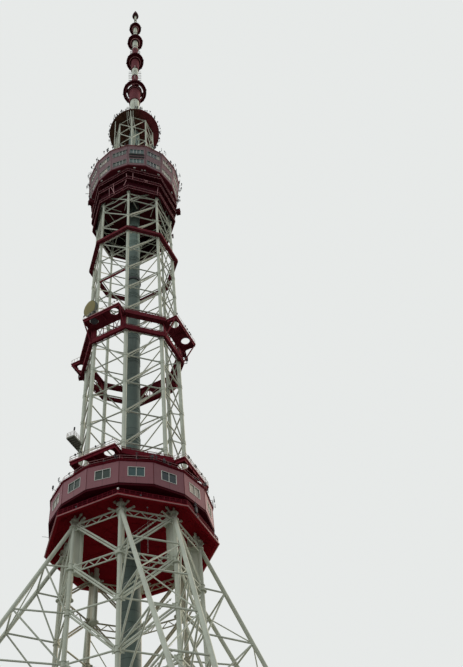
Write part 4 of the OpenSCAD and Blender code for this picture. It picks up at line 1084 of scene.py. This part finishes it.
# The struts of a fan, by the turn from a corner's outward line, the reach and the drop
FAN = ((ALONG, 0.36, 0.12), (ALONG, 0.30, 0.01), (-ALONG, 0.42, 0.10), (-ALONG, 0.34, 0.01),
       (160, 0.50, 0.02), (-160, 0.50, 0.02))
for side in SIDES:
    head, a = corner(SHAFT_R, side, SKIRT_Z), side + CORNER_A
    fans.blocks(head - (0, 0, 0.012), (0.052, 0.040, 0.020), a)
    for more, reach, drop in FAN:
        fans.tubes(head - (0, 0, 0.03), head + turn((reach, 0, -drop), a + more), 0.0085, 8)
fans.piece("skirt_fan_struts", WHITE, "white_paint")
rng = np.random.default_rng(7)
draws = (rng.integers(0, 3, BOXES), 45 * rng.integers(0, 8, BOXES), rng.uniform(-0.36, 0.36, BOXES),
         rng.uniform(0.02, 0.12, BOXES))
for ring, side, x, lift in zip(*draws):
    spot = (x, -(SKIRT_R + 0.022) * CH, SKIRT_RINGS[ring][0] + DECK_T + lift)
    boxes.blocks(spot, (0.018, 0.014, 0.026), on=[side])
boxes.piece("skirt_boxes", RED)
# Single struts between the skirt's rings, by the radius, azimuth and height of both ends, and the thickness
for r0, a0, z0, r1, a1, z1, thick in (
        (1.085, -87.5, 18.29, 1.110, -93.5, 18.72, 0.0085),
        (1.080, -88.7, 18.29, 1.110, -89.6, 18.84, 0.0075),
        (1.130, -73.2, 18.45, 1.150, -69.4, 18.70, 0.0085),
        (1.150, -70.0, 19.12, 1.190, -69.0, 18.80, 0.0075),
        (1.130, -61.3, 18.72, 1.150, -60.8, 19.10, 0.0065),
        (1.085, -96.5, 18.29, 1.110, -96.0, 18.72, 0.0065),
        (1.100, -25.5, 18.29, 1.130, -24.5, 18.72, 0.0065)):
    struts.tubes(at(r0, a0, z0), at(r1, a1, z1), thick, 8)
struts.blocks(at(1.105, -42.5, 18.80), (0.020, 0.055, 0.010), -42.5)
struts.tubes(at(1.090, -42.5, 18.72), at(1.105, -42.5, 18.80), 0.007, 8)
struts.piece("skirt_struts", DULL_PINK)
for a, r in ((-121.5, 1.315), (14.5, 1.260)):
    spot = at(r, a, 18.45)
    cabinets.blocks(spot, (0.055, 0.058, 0.075), a)
    cabinets.blocks(spot + (0, 0, 0.078), (0.062, 0.065, 0.005), a)
    for h in (-0.04, 0.04):
        cabinets.tubes(at(SKIRT_R * CH, a, 18.47 + h), spot + (0, 0, h), 0.009, 8)
cabinets.blocks(at(1.052, 24.5, 17.59), (0.020, 0.034, 0.055), 24.5)
cabinets.tubes(corner(SHAFT_R, 135, 17.59), at(1.052, 24.5, 17.59), 0.008, 8)
cabinets.piece("skirt_cabinets", DARK_RED)
for a, r, size in ((-59.0, 1.155, 1.0), (-81.0, 1.13, 1.0), (-48.0, 1.11, 0.8), (-44.0, 1.12, 0.8),
                   (-24.5, 1.175, 1.0), (-108.5, 1.185, 1.0), (-140, 1.17, 1.0), (8, 1.15, 1.0),
                   (32, 1.12, 1.0), (60, 1.16, 1.0), (95, 1.14, 1.0), (130, 1.16, 1.0), (165, 1.15, 1.0)):
    lens.blocks(at(r, a, LAMP_Z), (0.013 * size, 0.030 * size, 0.010), a)
    lens.tubes(at(r, a, LAMP_Z), at(r, a, LAMP_TOP), 0.006, 6)
lens.piece("skirt_lamps", LENS, "rail_paint")

# Small aerials round the upper pod's roof edge and wall, round the canopy and at the mast's foot
form, rng = Form(), np.random.default_rng(11)
clutter(form, rng, UP_R1 + 0.012, UP_TOP - 0.02, count=130, low=0.10, high=0.22, out=0.08)
clutter(form, rng, UP_R1 + 0.005, UP_Z + 0.55, count=20, low=0.05, high=0.12, out=0.06)
clutter(form, rng, CANOPY_R + 0.008, CANOPY_Z + 0.01, count=110, low=0.08, high=0.20, out=0.06)
clutter(form, rng, 0.34, CANOPY_TOP, count=30, low=0.25, high=0.80, out=0.20)
for a, z in ((20, 19.9), (-25, 20.3), (-120, 19.8), (-150, 20.2)):
    r = UP_R0 + (UP_R1 - UP_R0) * (z - UP_Z) / (UP_TOP - UP_Z)
    form.tubes(at(r - 0.01, a, z), at(r + 0.11, a, z), 0.005, 6)
    for s in (0.4, 0.7, 1.0):
        form.posts(at(r + 0.11 * s, a, z), -0.03, 0.03, 0.0038, 5)
form.piece("small_aerials", DARK_STEEL, "slate_paint")
roof_rail("upper_roof_rail", PINK, UP_R1 - 0.05, UP_ROOF, rail=0.0038, post=0.0038, top=0.102)

# Canopy and mast

# Radial beams and hoops under the canopy, its rim and a low rail on top
form, cables, z = Form(), Form(), CANOPY_Z - 0.008
mid, wide = (0, 0, CANOPY_Z), CANOPY_R + 0.008
for a in np.arange(0, 360, 22.5):
    form.straps(at(0.17, a, z), at(CANOPY_R - 0.01, a, z), 0.008, 0.016)
for r in (0.36, 0.60):
    form.hoops(r, r + 0.010, -0.014, -0.001, mid, 64)
form.lathe([(CANOPY_R - 0.002, -0.004), (wide, -0.004), (wide, 0.010), (CANOPY_R + 0.003, 0.014),
            (CANOPY_R + 0.003, 0.056), (wide, 0.060), (wide, 0.076), (CANOPY_R - 0.002, 0.076)],
           mid, sides=96, closed=True)
ring = circle(CANOPY_R - 0.03, 48, CANOPY_TOP + 0.095)
form.rail(ring, 0.0036, 6, True)
form.rail(ring - (0, 0, 0.045), 0.0030, 6, True)
form.tubes(ring[::2] * (1, 1, 0) + (0, 0, CANOPY_TOP), ring[::2], 0.0036, 6)
form.piece("canopy_trim", SHADED_CANOPY)
# Bent conduits from the canopy, outside the cage's front corner, then in between its bars to the pipe; the
# route gives radius, azimuth and height
ROUTE = ((0.80, -68.5, CANOPY_Z - 0.002), (0.78, -68.5, 24.08), (0.74, -68.2, 23.78), (0.70, -67.5, 23.55),
         (0.66, -66.0, 23.38), (0.63, -63.0, 23.22), (0.56, -61.0, 23.10), (0.40, -60.0, 23.02),
         (PIPE_R - 0.004, -59.0, 22.99))
for more, drop, thick in ((0.0, 0.0, 0.0135), (-5.0, -0.26, 0.0065), (5.5, -0.20, 0.0080),
                          (-9.0, -0.02, 0.0050)):
    line = [at(r, a + more, z - (drop if r < 0.75 else 0)) for r, a, z in ROUTE]
    cables.rail(np.concatenate(line), thick)
riser = row(-0.308, -0.699, 0)
cables.posts(riser, UP_ROOF, CANOPY_Z - 0.001, 0.012, 10)
for z in z_at((27, 28, 29)):
    cables.tubes(riser + (0, 0, z), corner(CAGE_R, 0, z), 0.006, 6)
cables.piece("canopy_conduits", WHITE, "white_paint")

# Cross-arms, by height and reach, pale and dark in turn
pale, dark, red, ladder, inner = (Form() for part in range(5))
rows = [(26.27, 0.29), (26.38, 0.28), (26.50, 0.29), (26.62, 0.28), (26.74, 0.27),
        (24.80, 0.30), (25.05, 0.33), (25.30, 0.30), (25.62, 0.31), (25.90, 0.29),
        *((z, 0.235) for z in (29.22, 29.40, 29.58, 29.76, 29.94, 30.12, 30.30)),
        (32.50, 0.20), (32.62, 0.21), (32.74, 0.20), (33.0, 0.19)]
for i, (z, r) in enumerate(rows):
    for a in (30, 120, 210, 300):
        form, tip = dark if i % 2 else pale, at(r, a, z)
        form.tubes(at(0.09, a, z), tip, 0.0095, 8)
        form.posts(tip, -0.028, 0.028, 0.0075, 8)
pale.piece("mast_cross_arms", FRAME, "white_paint")
dark.piece("mast_dark_arms", DARK_STEEL, "slate_paint")
# The discs' rims, spokes, rails and small boxes, rings under them, and flanges on the mast
for h, r in DISCS:
    foot = CANOPY_TOP + h
    red.hoops(r - 0.004, r + 0.005, -0.014, 0.064, (0, 0, foot), 64)
    for a in np.arange(0, 360, 30):
        red.straps(at(0.10, a, foot - 0.006), at(r - 0.004, a, foot - 0.006), 0.008, 0.012)
    ring = circle(r - 0.012, 32, foot + DISC_T + 0.085)
    red.rail(ring, 0.0040, 6, True)
    red.rail(ring - (0, 0, 0.042), 0.0034, 6, True)
    red.tubes(ring[::4] * (1, 1, 0) + (0, 0, foot + DISC_T), ring[::4], 0.0040, 6)
    for a in (17, 71, 96, 158, 203, 249, 311):
        box = at(r + 0.014, a, foot + 0.02)
        red.blocks(box, (0.010, 0.013, 0.022), a)
        red.tubes(at(r - 0.02, a, foot + 0.02), box, 0.005, 6)
for i, r0, r1 in ((0, 0.222, 0.236), (0, 0.330, 0.340), (1, 0.205, 0.225), (2, 0.170, 0.200),
                  (3, 0.120, 0.150)):
    inner.hoops(r0, r1, -0.018, -0.001, (0, 0, CANOPY_TOP + DISCS[i][0]))
inner.piece("disc_inner_rings", PINK)
for z, r in ((25.3, 0.165), (26.1, 0.165), (28.26, 0.115), (29.66, 0.118), (31.5, 0.112), (33.1, 0.11),
             (34.6, 0.085), (35.0, 0.08)):
    red.hoops(r - 0.01, r + 0.012, -0.011, 0.011, (0, 0, z), 32)
red.piece("mast_rings_and_rails", DARK_RED)
# A ladder up the mast's lowest tube
LADDER_A, LADDER_R = 200, 0.190
for y in (-0.014, 0.014):
    ladder.posts(turn((LADDER_R, y, 0), LADDER_A), CANOPY_TOP, CANOPY_TOP + 2.66, 0.0032, 6)
p = row(LADDER_R, -0.014, np.arange(CANOPY_TOP + 0.1, CANOPY_TOP + 2.60, 0.035))
ladder.tubes(p, p * (1, -1, 1), 0.0022, 5, [LADDER_A])
for z in np.arange(CANOPY_TOP + 0.2, CANOPY_TOP + 2.6, 0.4):
    ladder.tubes(at(0.155, LADDER_A, z), at(LADDER_R, LADDER_A, z), 0.003, 6)
ladder.piece("mast_ladder", STEEL, "white_paint")

# The white pole above the highest disc, the ball on it, and the bell with its point
pole, bell, foot, top = Form(), Form(), CANOPY_TOP + DISCS[3][0] + DISC_T, CANOPY_TOP + 13.15
pole.tubes((0, 0, foot), (0, 0, top + 0.15), 0.038, 20)
for z in (foot + 0.01, foot + 0.42, foot + 0.80, top - 0.12):
    pole.hoops(0.036, 0.050, -0.008, 0.008, (0, 0, z), 24)
pole.piece("mast_pole", WHITE, "white_paint", "spike")
t = np.linspace(0, 1, 17)
outer = np.column_stack([0.137 * (1 - t ** 1.25) + 0.008, 0.02 + 0.85 * t])
bell.lathe([(0.041, 0.012), (0.118, 0.0), (0.140, 0.004), *outer], (0, 0, top), sides=40)
bell.sphere((0, 0, 36.89), 0.062, 24, 13)
bell.piece("mast_bell", BELL, "white_paint")

# Stage, light and camera

# A plain floor: pale where a ray shows it, darker where it throws light back at the model
f = Finish("pale_floor")
tone = f.mix(f.noise(0.6), (0.84, 0.85, 0.87), (0.87, 0.88, 0.90))
shown = f.glossed(tone, 0.9, Specular_IOR_Level=0.2)
lit = f.node("BsdfDiffuse", {"Color": (0.20, 0.20, 0.19, 1)})
mesh = bpy.data.meshes.new("studio_floor")
mesh.from_pydata(circle(90.0, 64, -0.0005), [], [list(range(64))])
mesh.materials.append(f.either(f.seen(), lit, shown))
floor = bpy.data.objects.new("studio_floor", mesh)
bpy.context.scene.collection.objects.link(floor)

# Soft light from all round, and a plain pale background
f = Finish("pale_studio", "worlds")
lit, shown = (f.node("Background", {"Color": (*colour, 1), "Strength": strength})
              for colour, strength in (((0.94, 0.97, 0.97), 0.64), ((0.80, 0.82, 0.81), 1.0)))
bpy.context.scene.world = f.either(f.seen(), lit, shown)

# Broad soft lights from far off, toward the mast from each place
for name, place, strength, colour in (("side_softbox", (20.0, 38.0, 10.0), 3.1, (1.0, 0.87, 0.70)),
                                      ("front_fill", (-20.0, -40.0, 14.0), 0.62, (0.94, 0.99, 0.98))):
    lamp = bpy.data.lights.new(name, "SUN")
    lamp.energy, lamp.color, lamp.angle = strength, colour, math.radians(30)
    made = bpy.data.objects.new(name, lamp)
    made.rotation_euler = (-Vector(place)).to_track_quat("-Z", "Y").to_euler()
    bpy.context.scene.collection.objects.link(made)

# The camera near the mast's foot, looking up, its frame shifted so that the mast stands left of its middle:
# its place, the angle of the side that it faces, and its pitch, yaw and roll from there
EYE, FACING = (5.085, -8.613, 0.173), 30.56
pitch, yaw, roll = math.radians(45.09), math.radians(-0.53), math.radians(0.88)
ahead = np.array([math.sin(yaw) * math.cos(pitch), math.cos(yaw) * math.cos(pitch), math.sin(pitch)])
level = np.array([math.cos(yaw), -math.sin(yaw), 0.0])
rise = np.cross(level, ahead)
right, up = level * math.cos(roll) + rise * math.sin(roll), -level * math.sin(roll) + rise * math.cos(roll)
rotation = Matrix([turn(v, FACING).tolist() for v in (right, up, -ahead)]).transposed()
lens = bpy.data.cameras.new("photo_view")
lens.sensor_width, lens.sensor_fit, lens.lens = 36.0, "AUTO", 39.18
lens.shift_x, lens.shift_y = 0.1567, 0.1516
lens.clip_start, lens.clip_end = 0.05, 500.0
camera = bpy.data.objects.new("photo_view", lens)
camera.matrix_world = Matrix.Translation(EYE) @ rotation.to_4x4()
bpy.context.scene.collection.objects.link(camera)
bpy.context.scene.camera = camera
bpy.context.scene.view_settings.view_transform = "Standard"
